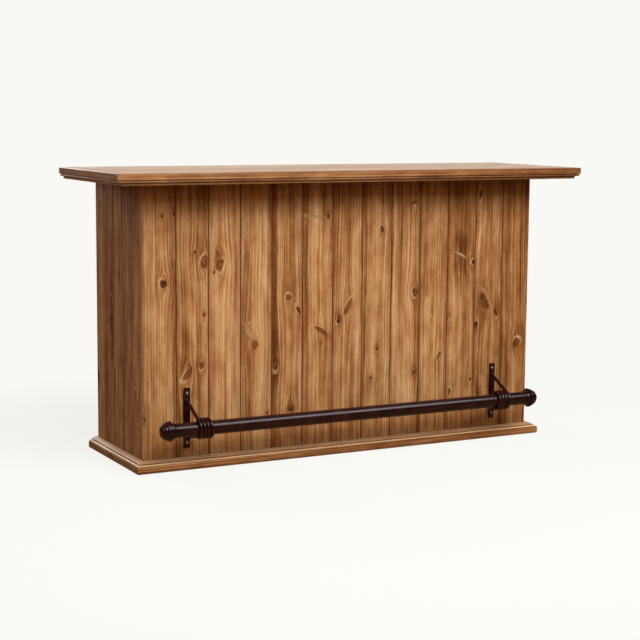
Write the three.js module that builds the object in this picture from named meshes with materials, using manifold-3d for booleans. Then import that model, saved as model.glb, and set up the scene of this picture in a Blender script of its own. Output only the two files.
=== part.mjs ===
// A boarded pine bar counter: tongued and grooved front and sides, a moulded top that overhangs three sides,
// a moulded plinth, open shelves behind and an iron foot rail carried by two wound rods.
// Millimetres, +Z up. The origin is on the floor under the middle of the top, and -Y is the customers' side.
import * as THREE from "three";
import { mergeVertices } from "three/addons/utils/BufferGeometryUtils.js";
import Module from "manifold-3d";

const wasm = await Module();
wasm.setup();

// The whole counter
const COUNTER_HEIGHT = 1067; // bar height, floor to top
const BODY_WIDTH = 1640;
const BODY_DEPTH = 478;
const TOP_OVERHANG = 140; // past the front and both sides; the back is flush
const SEAT_GAP = 0.3; // glue line or seat between pieces that meet
const ARRIS = 1.5; // eased corner of sawn timber

// Boarding
const BOARD_THICKNESS = 18;
const FRONT_BOARD_COUNT = 13;
const SIDE_BOARD_COUNT = 5;
const V_CHAMFER = 3.2; // each board's half of a V joint
const TONGUE_LENGTH = 8;
const TONGUE_THICKNESS = 6;
const TONGUE_CLEARANCE = 0.3;

// Top: boards inside a moulded edge that carries them on a ledge
const TOP_BOARD_COUNT = 3;
const TOP_BOARD_THICKNESS = 20;
const EDGE_WIDTH = 60; // seen from above
const EDGE_LEDGE = 20; // reach under the boards
const EDGE_ROUND = 2.5; // both corners of the flat band
const EDGE_BAND = 20; // height of the flat band
const EDGE_QUIRK = 3; // step in, under the band
const EDGE_OVOLO_RUN = 9;
const EDGE_OVOLO_DROP = 9.5;
const EDGE_FILLET = 3; // square step under the ovolo
const EDGE_COVE_RUN = 9;
const EDGE_COVE_DROP = 10;

// Plinth moulding
const PLINTH_BAND = 24; // height of the flat band
const PLINTH_ROUND = 6.5;
const PLINTH_FLAT = 6; // level step behind the round
const PLINTH_STEP = 3.5; // upright step
const PLINTH_SLOPE_RUN = 23;
const PLINTH_SLOPE_RISE = 8;
const PLINTH_CREST = 2; // level strip against the body
const PLINTH_BULGE = 0.65; // 0.5 is a straight slope, more is fuller

// Carcass
const RAIL_THICKNESS = 20;
const TOP_RAIL_HEIGHT = 70;
const SHELF_RAIL_HEIGHT = 40;
const BOTTOM_RAIL_HEIGHT = 75;
const STILE_WIDTH = 60;
const STILE_THICKNESS = 20;
const DECK_THICKNESS = 20;
const SHELF_THICKNESS = 20;
const SHELF_LEVEL = 560; // shelf's upper face above the floor
const DIVIDER_THICKNESS = 22;
const DADO_DEPTH = 6; // groove in the divider that holds a shelf's end

// Foot rail
const RAIL_DIAMETER = 50.8;
const RAIL_WALL = 2;
const RAIL_END_INSET = 79; // tube's end in from the body's side
const RAIL_LEVEL = 162; // axis above the floor
const RAIL_STANDOFF = 100; // axis in front of the boards
const RAIL_FACETS = 28;

// Turned cap at each end of the rail, from the tube's end outwards
const FINIAL_SPIGOT = 20;
const FINIAL_COLLAR_LENGTH = 8;
const FINIAL_COLLAR_RADIUS = 28.5;
const FINIAL_NECK_RADIUS = 26;
const FINIAL_FLARE_LENGTH = 10;
const FINIAL_RING_RADII = [36.5, 31.5, 25.5, 18.5]; // stepped dome, the last one is the tip
const FINIAL_RING_LENGTHS = [7, 11, 11, 12];

// Brackets
const BRACKET_INSET = 86; // plate's centre line in from the tube's end
const PLATE_WIDTH = 25.4;
const PLATE_THICKNESS = 5;
const PLATE_ABOVE_RAIL = 131;
const PLATE_BELOW_RAIL = 88;
const PLATE_CORNER = 1.2;
const ROD_DIAMETER = 12.7;
const ROD_SIDES = 8;
const ROD_STEPS_PER_TURN = 24;
const COIL_PITCH = 13.8;
const COIL_TURNS = 3; // whole turns before the rod leaves for the plate
const COIL_CLEARANCE = 0.5; // rod to tube
const STRUT_RISE = 85; // strut's end on the plate above the rail's axis
const TAIL_DROP = 46; // tail's end on the plate below the rail's axis
const TAIL_SLOPE = 10; // degrees below level where the tail leaves the coil
const TAIL_STRAIGHT = 56; // how far back the tail's bend lies
const TAIL_EDGE = 0.8; // plate left showing beside the tail's end

// Bracket screws
const SCREW_DIAMETER = 4.8;
const SCREW_LENGTH = 20;
const SCREW_POINT = 3;
const SCREW_HEAD_DIAMETER = 12;
const SCREW_HEAD_RIM = 1;
const SCREW_HEAD_HEIGHT = 3.4;
const SCREW_INSET = 20; // from each end of the plate
const SCREW_FACETS = 16;

const STAINED_PINE = { color: 0xa8743f, roughness: 0.5, metalness: 0 };
const INSIDE_PINE = { color: 0xb58550, roughness: 0.65, metalness: 0 };
const BRONZE_PAINT = { color: 0x2e1618, roughness: 0.32, metalness: 0.2 };
const ZINC_STEEL = { color: 0xb9b6ae, roughness: 0.35, metalness: 0.9 };

// Levels and faces that several pieces share
const halfBody = BODY_WIDTH / 2;
const halfTop = halfBody + TOP_OVERHANG;
const backFace = (BODY_DEPTH + TOP_OVERHANG) / 2;
const frontEdge = -backFace;
const frontFace = frontEdge + TOP_OVERHANG;
const frontInside = frontFace + BOARD_THICKNESS;
const sideInside = halfBody - BOARD_THICKNESS;
const bodyTop = COUNTER_HEIGHT - TOP_BOARD_THICKNESS - SEAT_GAP;
const stileFace = backFace - STILE_THICKNESS;
const railBack = frontInside + SEAT_GAP + RAIL_THICKNESS;
const deckTop = BOTTOM_RAIL_HEIGHT + SEAT_GAP + DECK_THICKNESS;
const shelfUnderside = SHELF_LEVEL - SHELF_THICKNESS;
const edgeThickness = EDGE_BAND + EDGE_OVOLO_DROP + EDGE_FILLET + EDGE_COVE_DROP;
const plinthProjection = PLINTH_ROUND + PLINTH_FLAT + PLINTH_SLOPE_RUN + PLINTH_CREST;
const plinthHeight = PLINTH_BAND + PLINTH_ROUND + PLINTH_STEP + PLINTH_SLOPE_RISE;
const railTubeLength = BODY_WIDTH - 2 * RAIL_END_INSET;
const bracketReach = railTubeLength / 2 - BRACKET_INSET; // from the counter's middle
const coilRadius = RAIL_DIAMETER / 2 + COIL_CLEARANCE + ROD_DIAMETER / 2;
const plateFace = RAIL_STANDOFF - SEAT_GAP - PLATE_THICKNESS; // behind the rail's axis

const X = new THREE.Vector3(1, 0, 0);
const Y = new THREE.Vector3(0, 1, 0);
const Z = new THREE.Vector3(0, 0, 1);
const counter = new THREE.Group();

// Adds a named piece whose own axes point along the three given directions
function addPiece(name, geometry, finish, place, [across, up, along] = [X, Y, Z]) {
  const mesh = new THREE.Mesh(geometry, new THREE.MeshStandardMaterial(finish));
  mesh.name = name;
  mesh.position.copy(place);
  mesh.quaternion.setFromRotationMatrix(new THREE.Matrix4().makeBasis(across, up, along));
  counter.add(mesh);
  return mesh;
}

function extrude(shape, depth, curveSegments = 6) {
  return new THREE.ExtrudeGeometry(shape, { depth, curveSegments, bevelEnabled: false });
}

function outline(points) {
  return new THREE.Shape(points.map(([x, y]) => new THREE.Vector2(x, y)));
}

// Closed geometry to a solid that can be cut, and back
function toSolid(geometry) {
  const bare = geometry.clone();
  bare.deleteAttribute("normal");
  bare.deleteAttribute("uv");
  const merged = mergeVertices(bare, 1e-4);
  const vertProperties = merged.attributes.position.array;
  const triVerts = new Uint32Array(merged.index.array);
  return new wasm.Manifold(new wasm.Mesh({ numProp: 3, vertProperties, triVerts }));
}

function toGeometry(solid) {
  const mesh = solid.getMesh();
  const geometry = new THREE.BufferGeometry();
  geometry.setAttribute("position", new THREE.BufferAttribute(mesh.vertProperties, mesh.numProp));
  geometry.setIndex(new THREE.BufferAttribute(mesh.triVerts, 1));
  return geometry;
}

function cut(geometry, tools) {
  return toGeometry(tools.reduce((left, tool) => left.subtract(toSolid(tool)), toSolid(geometry)));
}

// A straight length of timber with eased arrises, between two corners, with its grain along one axis
const GRAIN_FRAMES = { x: [Y, Z, X], y: [Z, X, Y], z: [X, Y, Z] };

function addTimber(name, low, high, grain, finish = INSIDE_PINE) {
  const frame = GRAIN_FRAMES[grain];
  const corner = new THREE.Vector3(...low);
  const size = new THREE.Vector3(...high).sub(corner);
  const [width, thickness, length] = frame.map((axis) => size.dot(axis));
  const section = outline([
    [ARRIS, 0],
    [width - ARRIS, 0],
    [width, ARRIS],
    [width, thickness - ARRIS],
    [width - ARRIS, thickness],
    [ARRIS, thickness],
    [0, thickness - ARRIS],
    [0, ARRIS],
  ]);
  return addPiece(name, extrude(section, length), finish, corner, frame);
}

// Section of one board of a wall: x along the wall, y from the seen face inwards
function boardSection(width, grooved, tongued) {
  const left = grooved ? SEAT_GAP / 2 : 0;
  const right = width - (tongued ? SEAT_GAP / 2 : 0);
  const middle = (V_CHAMFER + BOARD_THICKNESS) / 2;
  const tongue = TONGUE_THICKNESS / 2;
  const groove = tongue + TONGUE_CLEARANCE;
  const tip = right + TONGUE_LENGTH;
  const floor = left + TONGUE_LENGTH + TONGUE_CLEARANCE;
  const points = [
    [left + V_CHAMFER, 0],
    [right - V_CHAMFER, 0],
    [right, V_CHAMFER],
  ];
  if (tongued) {
    points.push([right, middle - tongue], [tip, middle - tongue], [tip, middle + tongue], [right, middle + tongue]);
  }
  points.push([right, BOARD_THICKNESS], [left, BOARD_THICKNESS]);
  if (grooved) {
    points.push([left, middle + groove], [floor, middle + groove], [floor, middle - groove], [left, middle - groove]);
  }
  points.push([left, V_CHAMFER]);
  return outline(points);
}

// One wall of upright boards, from its start along the wall, with the given bores cut through
function addBoards(name, { count, length, start, along, inwards, bores = [] }) {
  const width = length / count;
  const digits = String(count).length;
  for (let i = 0; i < count; i++) {
    const board = extrude(boardSection(width, i > 0, i < count - 1), bodyTop);
    const reach = width + TONGUE_LENGTH;
    const own = bores
      .map(({ at, level, radius }) => ({ x: at - i * width, level, radius }))
      .filter(({ x, radius }) => x > -radius && x < reach + radius)
      .map(({ x, level, radius }) => boreThroughBoard(x, level, radius));
    const geometry = own.length ? cut(board, own) : board;
    const place = start.clone().addScaledVector(along, i * width);
    const number = String(i + 1).padStart(digits, "0");
    addPiece(`${name}_${number}`, geometry, STAINED_PINE, place, [along, inwards, Z]);
  }
}

function boreThroughBoard(x, level, radius) {
  const bore = new THREE.CylinderGeometry(radius, radius, 3 * BOARD_THICKNESS, SCREW_FACETS);
  return bore.translate(x, BOARD_THICKNESS / 2, level);
}

// A moulding whose section's x is the distance in from its outer face; a mitred end slopes at 45 degrees
function mouldingGeometry(section, length, mitredStart, mitredEnd) {
  const geometry = extrude(section, length);
  const place = geometry.attributes.position;
  for (let i = 0; i < place.count; i++) {
    const inset = place.getX(i) + SEAT_GAP;
    const atStart = place.getZ(i) < length / 2;
    if (atStart && mitredStart) place.setZ(i, inset);
    if (!atStart && mitredEnd) place.setZ(i, length - inset);
  }
  return geometry;
}

// The same moulding along the front and both sides of a rectangle, mitred at the two front corners
function addMoulding(name, section, halfWidth, front, back, level) {
  const width = 2 * halfWidth;
  const depth = back - front;
  const across = mouldingGeometry(section, width, true, true);
  const left = mouldingGeometry(section, depth, false, true);
  const right = mouldingGeometry(section, depth, true, false);
  const backwards = Y.clone().negate();
  const leftwards = X.clone().negate();
  addPiece(`${name}_front`, across, STAINED_PINE, new THREE.Vector3(-halfWidth, front, level), [Y, Z, X]);
  addPiece(`${name}_left`, left, STAINED_PINE, new THREE.Vector3(-halfWidth, back, level), [X, Z, backwards]);
  addPiece(`${name}_right`, right, STAINED_PINE, new THREE.Vector3(halfWidth, front, level), [leftwards, Z, Y]);
}

// Top edge, from its underside up: cove, fillet, ovolo, quirk and flat band, with the ledge behind
function topEdgeSection() {
  const ovoloIn = EDGE_QUIRK + EDGE_OVOLO_RUN;
  const filletIn = ovoloIn + EDGE_FILLET;
  const coveIn = filletIn + EDGE_COVE_RUN;
  const bandLow = edgeThickness - EDGE_BAND;
  const ovoloLow = bandLow - EDGE_OVOLO_DROP;
  const ledgeTop = edgeThickness - TOP_BOARD_THICKNESS - SEAT_GAP;
  const section = new THREE.Shape();
  section.moveTo(coveIn, 0);
  section.lineTo(EDGE_WIDTH + EDGE_LEDGE, 0);
  section.lineTo(EDGE_WIDTH + EDGE_LEDGE, ledgeTop);
  section.lineTo(EDGE_WIDTH, ledgeTop);
  section.lineTo(EDGE_WIDTH, edgeThickness);
  section.lineTo(EDGE_ROUND, edgeThickness);
  section.quadraticCurveTo(0, edgeThickness, 0, edgeThickness - EDGE_ROUND);
  section.lineTo(0, bandLow + EDGE_ROUND);
  section.quadraticCurveTo(0, bandLow, EDGE_QUIRK, bandLow);
  section.quadraticCurveTo(EDGE_QUIRK, ovoloLow, ovoloIn, ovoloLow);
  section.lineTo(filletIn, ovoloLow);
  section.lineTo(filletIn, EDGE_COVE_DROP);
  section.quadraticCurveTo(coveIn, EDGE_COVE_DROP, coveIn, 0);
  return section;
}

// Plinth, from the floor up: flat band, round, level step, upright step and a full slope to the body
function plinthSection() {
  const roundTop = PLINTH_BAND + PLINTH_ROUND;
  const stepIn = PLINTH_ROUND + PLINTH_FLAT;
  const slopeLow = roundTop + PLINTH_STEP;
  const crestIn = stepIn + PLINTH_SLOPE_RUN;
  const bulgeIn = stepIn + PLINTH_SLOPE_RUN * (1 - PLINTH_BULGE);
  const bulgeHigh = slopeLow + PLINTH_SLOPE_RISE * PLINTH_BULGE;
  const section = new THREE.Shape();
  section.moveTo(plinthProjection - SEAT_GAP, 0);
  section.lineTo(plinthProjection - SEAT_GAP, plinthHeight);
  section.lineTo(crestIn, plinthHeight);
  section.quadraticCurveTo(bulgeIn, bulgeHigh, stepIn, slopeLow);
  section.lineTo(stepIn, roundTop);
  section.lineTo(PLINTH_ROUND, roundTop);
  section.quadraticCurveTo(0, roundTop, 0, PLINTH_BAND);
  section.lineTo(0, 0);
  return section;
}

function addTopBoards() {
  const front = frontEdge + EDGE_WIDTH + SEAT_GAP;
  const half = halfTop - EDGE_WIDTH - SEAT_GAP;
  const width = (backFace - front) / TOP_BOARD_COUNT;
  for (let i = 0; i < TOP_BOARD_COUNT; i++) {
    const low = [-half, front + i * width + (i > 0 ? SEAT_GAP : 0), COUNTER_HEIGHT - TOP_BOARD_THICKNESS];
    const high = [half, front + (i + 1) * width, COUNTER_HEIGHT];
    addTimber(`top_board_${i + 1}`, low, high, "x", STAINED_PINE);
  }
}

// The three levels at which rails and cleats tie the boards together
const tieLevels = {
  top: [bodyTop - TOP_RAIL_HEIGHT, bodyTop],
  shelf: [shelfUnderside - SEAT_GAP - SHELF_RAIL_HEIGHT, shelfUnderside - SEAT_GAP],
  bottom: [0, BOTTOM_RAIL_HEIGHT],
};

function addRailsAndCleats() {
  const wall = sideInside - SEAT_GAP;
  for (const [level, [low, high]] of Object.entries(tieLevels)) {
    const front = frontInside + SEAT_GAP;
    addTimber(`front_${level}_rail`, [-wall, front, low], [wall, railBack, high], "x");
    const [start, end] = [railBack + SEAT_GAP, stileFace - SEAT_GAP];
    addTimber(`left_${level}_cleat`, [-wall, start, low], [-wall + RAIL_THICKNESS, end, high], "y");
    addTimber(`right_${level}_cleat`, [wall - RAIL_THICKNESS, start, low], [wall, end, high], "y");
  }
}

function addBackFrame() {
  const wall = sideInside - SEAT_GAP;
  const inner = wall - STILE_WIDTH;
  const between = inner - SEAT_GAP;
  const [topLow, topHigh] = tieLevels.top;
  addTimber("back_left_stile", [-wall, stileFace, 0], [-inner, backFace, bodyTop], "z");
  addTimber("back_right_stile", [inner, stileFace, 0], [wall, backFace, bodyTop], "z");
  addTimber("back_top_rail", [-between, stileFace, topLow], [between, backFace, topHigh], "x");
  addTimber("back_bottom_rail", [-between, stileFace, 0], [between, backFace, BOTTOM_RAIL_HEIGHT], "x");
}

// Deck on the bottom rails and cleats, notched round the two back stiles
function addDeck() {
  const wall = sideInside - SEAT_GAP;
  const notchIn = wall - STILE_WIDTH - SEAT_GAP;
  const notchFront = stileFace - SEAT_GAP;
  const front = frontInside + SEAT_GAP;
  const shape = outline([
    [-wall, front],
    [wall, front],
    [wall, notchFront],
    [notchIn, notchFront],
    [notchIn, backFace],
    [-notchIn, backFace],
    [-notchIn, notchFront],
    [-wall, notchFront],
  ]);
  const place = new THREE.Vector3(0, 0, BOTTOM_RAIL_HEIGHT + SEAT_GAP);
  addPiece("bottom_deck", extrude(shape, DECK_THICKNESS), INSIDE_PINE, place);
}

// Upright divider, notched round the front rails, with a groove on each face for a shelf's end
function addDivider() {
  const front = frontInside + SEAT_GAP;
  const back = stileFace - SEAT_GAP;
  const notch = railBack + SEAT_GAP;
  const foot = deckTop + SEAT_GAP;
  const [topLow] = tieLevels.top;
  const [shelfLow, shelfHigh] = tieLevels.shelf;
  const shape = outline([
    [front, foot],
    [back, foot],
    [back, bodyTop],
    [notch, bodyTop],
    [notch, topLow - SEAT_GAP],
    [front, topLow - SEAT_GAP],
    [front, shelfHigh],
    [notch, shelfHigh],
    [notch, shelfLow - SEAT_GAP],
    [front, shelfLow - SEAT_GAP],
  ]);
  const dadoHeight = SHELF_THICKNESS + 2 * SEAT_GAP;
  const dados = [0, DIVIDER_THICKNESS].map((face) =>
    new THREE.BoxGeometry(2 * BODY_DEPTH, dadoHeight, 2 * DADO_DEPTH).translate(
      0,
      shelfUnderside - SEAT_GAP + dadoHeight / 2,
      face,
    ),
  );
  const place = new THREE.Vector3(-DIVIDER_THICKNESS / 2, 0, 0);
  addPiece("centre_divider", cut(extrude(shape, DIVIDER_THICKNESS), dados), INSIDE_PINE, place, [Y, Z, X]);
}

function addShelves() {
  const wall = sideInside - SEAT_GAP;
  const seat = DIVIDER_THICKNESS / 2 - DADO_DEPTH + SEAT_GAP;
  const front = frontInside + SEAT_GAP;
  const back = stileFace - SEAT_GAP;
  addTimber("left_shelf", [-wall, front, shelfUnderside], [-seat, back, SHELF_LEVEL], "x");
  addTimber("right_shelf", [seat, front, shelfUnderside], [wall, back, SHELF_LEVEL], "x");
}

// Foot rail: a tube with a turned cap in each end
const railAxis = new THREE.Vector3(0, frontFace - RAIL_STANDOFF, RAIL_LEVEL);

function addFootRail() {
  const ring = new THREE.Shape();
  ring.absarc(0, 0, RAIL_DIAMETER / 2, 0, 2 * Math.PI);
  const bore = new THREE.Path();
  bore.absarc(0, 0, RAIL_DIAMETER / 2 - RAIL_WALL, 0, 2 * Math.PI, true);
  ring.holes.push(bore);
  const start = railAxis.clone().addScaledVector(X, -railTubeLength / 2);
  const tube = extrude(ring, railTubeLength, RAIL_FACETS / 2);
  addPiece("foot_rail_tube", tube, BRONZE_PAINT, start, [Y, Z, X]);
  for (const [side, hand] of Object.entries({ left: -1, right: 1 })) {
    const outwards = X.clone().multiplyScalar(hand);
    const place = railAxis.clone().addScaledVector(outwards, railTubeLength / 2);
    const frame = [Z, outwards, Z.clone().cross(outwards)];
    addPiece(`${side}_rail_finial`, finialGeometry(), BRONZE_PAINT, place, frame);
  }
}

// Cap: spigot in the tube, collar, hollow neck that flares to the rim, and a stepped dome
function finialGeometry() {
  const spigot = RAIL_DIAMETER / 2 - RAIL_WALL - SEAT_GAP;
  const collarEnd = SEAT_GAP + FINIAL_COLLAR_LENGTH;
  const profile = new THREE.Path();
  profile.moveTo(0, -FINIAL_SPIGOT);
  profile.lineTo(spigot, -FINIAL_SPIGOT);
  profile.lineTo(spigot, SEAT_GAP);
  profile.lineTo(FINIAL_NECK_RADIUS, SEAT_GAP);
  profile.quadraticCurveTo(
    2 * FINIAL_COLLAR_RADIUS - FINIAL_NECK_RADIUS,
    (SEAT_GAP + collarEnd) / 2,
    FINIAL_NECK_RADIUS,
    collarEnd,
  );
  let end = collarEnd + FINIAL_FLARE_LENGTH;
  profile.quadraticCurveTo(FINIAL_NECK_RADIUS, end, FINIAL_RING_RADII[0], end);
  FINIAL_RING_RADII.forEach((radius, i) => {
    const next = FINIAL_RING_RADII[i + 1] ?? 0;
    end += FINIAL_RING_LENGTHS[i];
    profile.quadraticCurveTo(radius, end, next, end);
  });
  return new THREE.LatheGeometry(profile.getPoints(5), RAIL_FACETS);
}

// A turn of the rod about the rail: angles from the panel's side over the top, x moves inboard with each turn
class CoilCurve extends THREE.Curve {
  constructor(from, to, hand) {
    super();
    Object.assign(this, { from, to, hand });
  }
  getPoint(t, target = new THREE.Vector3()) {
    const angle = this.from + (this.to - this.from) * t;
    const inboard = (COIL_PITCH * (angle - this.from)) / (2 * Math.PI);
    return target.set(this.hand * inboard, coilRadius * Math.cos(angle), coilRadius * Math.sin(angle));
  }
}

// The rod's centre line, about the rail's axis on the plate's centre line: a straight strut from the plate, the coil,
// and a tail that bends back to the plate. hand is +1 where inboard is +X.
function rodPath(hand) {
  const past = ROD_DIAMETER; // both ends start behind the plate's face and are cut off there
  const strutTop = new THREE.Vector3(0, plateFace, STRUT_RISE);
  const reach = Math.hypot(plateFace, STRUT_RISE);
  const from = Math.atan2(STRUT_RISE, plateFace) + Math.acos(coilRadius / reach);
  const to = 2 * Math.PI * COIL_TURNS + 1.5 * Math.PI - THREE.MathUtils.degToRad(TAIL_SLOPE);
  const coil = new CoilCurve(from, to, hand);
  coil.arcLengthDivisions = 60 * ROD_STEPS_PER_TURN;
  const [coilStart, coilEnd] = [coil.getPoint(0), coil.getPoint(1)];
  const strutWay = coilStart.clone().sub(strutTop).normalize();
  const tailFoot = new THREE.Vector3(hand * (PLATE_WIDTH / 2 - ROD_DIAMETER / 2 - TAIL_EDGE), plateFace, -TAIL_DROP);
  const bend = coilEnd.clone().addScaledVector(coil.getTangent(1), TAIL_STRAIGHT);
  const tailWay = tailFoot.clone().sub(bend).normalize();
  const path = new THREE.CurvePath();
  path.add(new THREE.LineCurve3(strutTop.clone().addScaledVector(strutWay, -past), coilStart));
  path.add(coil);
  path.add(new THREE.QuadraticBezierCurve3(coilEnd, bend, tailFoot.clone().addScaledVector(tailWay, past)));
  return path;
}

// Least gap between stretches of the rod that lie more than half a turn apart along it
function leastGap(path) {
  const step = ROD_DIAMETER / 8;
  const count = Math.round(path.getLength() / step);
  const apart = Math.round((Math.PI * coilRadius) / step);
  const points = path.getSpacedPoints(count);
  let least = Infinity;
  for (let i = 0; i < points.length; i++) {
    for (let j = i + apart; j < points.length; j++) {
      least = Math.min(least, points[i].distanceTo(points[j]));
    }
  }
  return least - ROD_DIAMETER;
}

function rodGeometry(hand) {
  const path = rodPath(hand);
  const section = new THREE.Shape();
  section.absarc(0, 0, ROD_DIAMETER / 2, 0, 2 * Math.PI);
  const turn = 2 * Math.PI * coilRadius;
  const steps = Math.round((path.getLength() / turn) * ROD_STEPS_PER_TURN);
  const rod = new THREE.ExtrudeGeometry(section, { steps, curveSegments: ROD_SIDES / 2, extrudePath: path });
  const behind = 10 * ROD_DIAMETER;
  const side = 10 * coilRadius;
  const plate = new THREE.BoxGeometry(side, behind, side);
  plate.translate(0, plateFace - SEAT_GAP + behind / 2, 0);
  console.log(`bracket rod: least gap to itself ${leastGap(path).toFixed(2)} mm`);
  return cut(rod, [plate]);
}

// Screw heights above the rail's axis
const screwRises = {
  upper: PLATE_ABOVE_RAIL - SCREW_INSET,
  lower: SCREW_INSET - PLATE_BELOW_RAIL,
};

function plateGeometry() {
  const half = PLATE_WIDTH / 2;
  const [top, low, corner] = [PLATE_ABOVE_RAIL, -PLATE_BELOW_RAIL, PLATE_CORNER];
  const shape = outline([
    [corner - half, low],
    [half - corner, low],
    [half, low + corner],
    [half, top - corner],
    [half - corner, top],
    [corner - half, top],
    [-half, top - corner],
    [-half, low + corner],
  ]);
  for (const rise of Object.values(screwRises)) {
    const hole = new THREE.Path();
    hole.absarc(0, rise, SCREW_DIAMETER / 2 + SEAT_GAP, 0, 2 * Math.PI, true);
    shape.holes.push(hole);
  }
  return extrude(shape, PLATE_THICKNESS, SCREW_FACETS / 2);
}

// Pan head screw along its own y, head outwards, seated at y = 0
function screwGeometry() {
  const shank = SCREW_DIAMETER / 2;
  const head = SCREW_HEAD_DIAMETER / 2;
  const profile = new THREE.Path();
  profile.moveTo(0, -SCREW_LENGTH);
  profile.lineTo(shank, SCREW_POINT - SCREW_LENGTH);
  profile.lineTo(shank, 0);
  profile.lineTo(head, 0);
  profile.lineTo(head, SCREW_HEAD_RIM);
  profile.quadraticCurveTo(head, SCREW_HEAD_HEIGHT, 0, SCREW_HEAD_HEIGHT);
  return new THREE.LatheGeometry(profile.getPoints(4), SCREW_FACETS);
}

const bracketSides = { left: -1, right: 1 };

function addBrackets() {
  const towards = Y.clone().negate();
  for (const [side, hand] of Object.entries(bracketSides)) {
    const middle = railAxis.clone().addScaledVector(X, hand * bracketReach);
    const platePlace = middle.clone().setY(frontFace - SEAT_GAP);
    addPiece(`${side}_bracket_plate`, plateGeometry(), BRONZE_PAINT, platePlace, [X, Z, towards]);
    addPiece(`${side}_bracket_rod`, rodGeometry(-hand), BRONZE_PAINT, middle);
    for (const [end, rise] of Object.entries(screwRises)) {
      const place = platePlace.clone().addScaledVector(Z, rise);
      place.addScaledVector(towards, PLATE_THICKNESS + SEAT_GAP);
      addPiece(`${side}_${end}_screw`, screwGeometry(), ZINC_STEEL, place, [Z, towards, X]);
    }
  }
}

const screwBores = Object.values(bracketSides).flatMap((hand) =>
  Object.values(screwRises).map((rise) => ({
    at: halfBody + hand * bracketReach,
    level: RAIL_LEVEL + rise,
    radius: SCREW_DIAMETER / 2 + SEAT_GAP,
  })),
);

addBoards("front_board", {
  count: FRONT_BOARD_COUNT,
  length: BODY_WIDTH,
  start: new THREE.Vector3(-halfBody, frontFace, 0),
  along: X,
  inwards: Y,
  bores: screwBores,
});
addBoards("left_side_board", {
  count: SIDE_BOARD_COUNT,
  length: BODY_DEPTH - BOARD_THICKNESS - SEAT_GAP,
  start: new THREE.Vector3(-halfBody, backFace, 0),
  along: Y.clone().negate(),
  inwards: X,
});
addBoards("right_side_board", {
  count: SIDE_BOARD_COUNT,
  length: BODY_DEPTH - BOARD_THICKNESS - SEAT_GAP,
  start: new THREE.Vector3(halfBody, frontInside + SEAT_GAP, 0),
  along: Y,
  inwards: X.clone().negate(),
});
addMoulding("top_edge", topEdgeSection(), halfTop, frontEdge, backFace, COUNTER_HEIGHT - edgeThickness);
addMoulding("plinth", plinthSection(), halfBody + plinthProjection, frontFace - plinthProjection, backFace, 0);
addTopBoards();
addRailsAndCleats();
addBackFrame();
addDeck();
addDivider();
addShelves();
addFootRail();
addBrackets();

export default counter;
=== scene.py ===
import math
from collections import namedtuple

import bmesh
import bpy
import numpy as np
from mathutils import Matrix, Vector


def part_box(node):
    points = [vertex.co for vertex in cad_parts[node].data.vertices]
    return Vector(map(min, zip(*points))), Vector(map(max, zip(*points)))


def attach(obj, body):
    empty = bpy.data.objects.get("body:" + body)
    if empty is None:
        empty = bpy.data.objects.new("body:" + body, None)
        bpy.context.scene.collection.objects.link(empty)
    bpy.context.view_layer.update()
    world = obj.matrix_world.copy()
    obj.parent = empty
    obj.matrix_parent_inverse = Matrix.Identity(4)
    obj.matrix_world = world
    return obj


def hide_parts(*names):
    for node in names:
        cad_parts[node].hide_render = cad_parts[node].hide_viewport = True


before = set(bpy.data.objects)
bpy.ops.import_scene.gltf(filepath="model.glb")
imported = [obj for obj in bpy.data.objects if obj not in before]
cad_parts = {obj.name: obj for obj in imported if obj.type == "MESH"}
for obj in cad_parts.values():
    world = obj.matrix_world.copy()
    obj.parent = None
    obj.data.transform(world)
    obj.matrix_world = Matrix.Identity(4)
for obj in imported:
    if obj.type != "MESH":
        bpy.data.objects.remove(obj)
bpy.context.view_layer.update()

MM = 0.001
TURN = 2 * math.pi
scene = bpy.context.scene
scene.view_settings.view_transform = "Standard"

# Settings that many nodes share
TIMES, TIMES_PLUS, LARGER, LESS, DIVIDED = (
    {"operation": way} for way in ("MULTIPLY", "MULTIPLY_ADD", "MAXIMUM", "SUBTRACT", "DIVIDE"))
CLAMPED = {"use_clamp": True}
SMOOTH = {"interpolation_type": "SMOOTHSTEP"}
COLOURS = {"data_type": "RGBA"}
VECTORS = {"data_type": "FLOAT_VECTOR"}


# Small tools

def linear(code):
    """An sRGB hex colour as linear RGBA."""
    parts = [int(code[i:i + 2], 16) / 255 for i in (1, 3, 5)]
    return [p / 12.92 if p <= 0.04045 else ((p + 0.055) / 1.055) ** 2.4 for p in parts] + [1.0]


def add(tree, kind, inputs=None, settings=None):
    """Adds a node by the end of its type's name, with inputs that are values, sockets or other nodes."""
    starts = (tree.bl_idname.removesuffix("Tree"), "FunctionNode", "ShaderNode", "Node")
    made = tree.nodes.new(next(start + kind for start in starts if hasattr(bpy.types, start + kind)))
    for key, value in (settings or {}).items():
        if key == "stops":
            elements = made.color_ramp.elements
            while len(elements) < len(value):
                elements.new(1.0)
            for element, (place, code) in zip(elements, value):
                element.position = place
                element.color = linear(code)
        else:
            setattr(made, key, value)
    for key, value in (inputs or {}).items():
        if isinstance(value, bpy.types.Node):
            value = next(socket for socket in value.outputs if socket.enabled)
        if isinstance(value, bpy.types.NodeSocket):
            tree.links.new(value, made.inputs[key])
        else:
            made.inputs[key].default_value = value
    return made


def new_material(name):
    """A material with an empty node tree, and that tree."""
    material = bpy.data.materials.new(name)
    material.use_nodes = True
    material.node_tree.nodes.clear()
    return material, material.node_tree


def new_mesh(name, points, edges=(), faces=()):
    """A mesh from points in metres."""
    mesh = bpy.data.meshes.new(name)
    mesh.from_pydata(points, edges, faces)
    return mesh


def placed(name, mesh, material=None):
    """A mesh, lamp or camera as an object at the origin."""
    piece = bpy.data.objects.new(name, mesh)
    scene.collection.objects.link(piece)
    if material:
        mesh.materials.clear()
        mesh.materials.append(material)
    return piece


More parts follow.
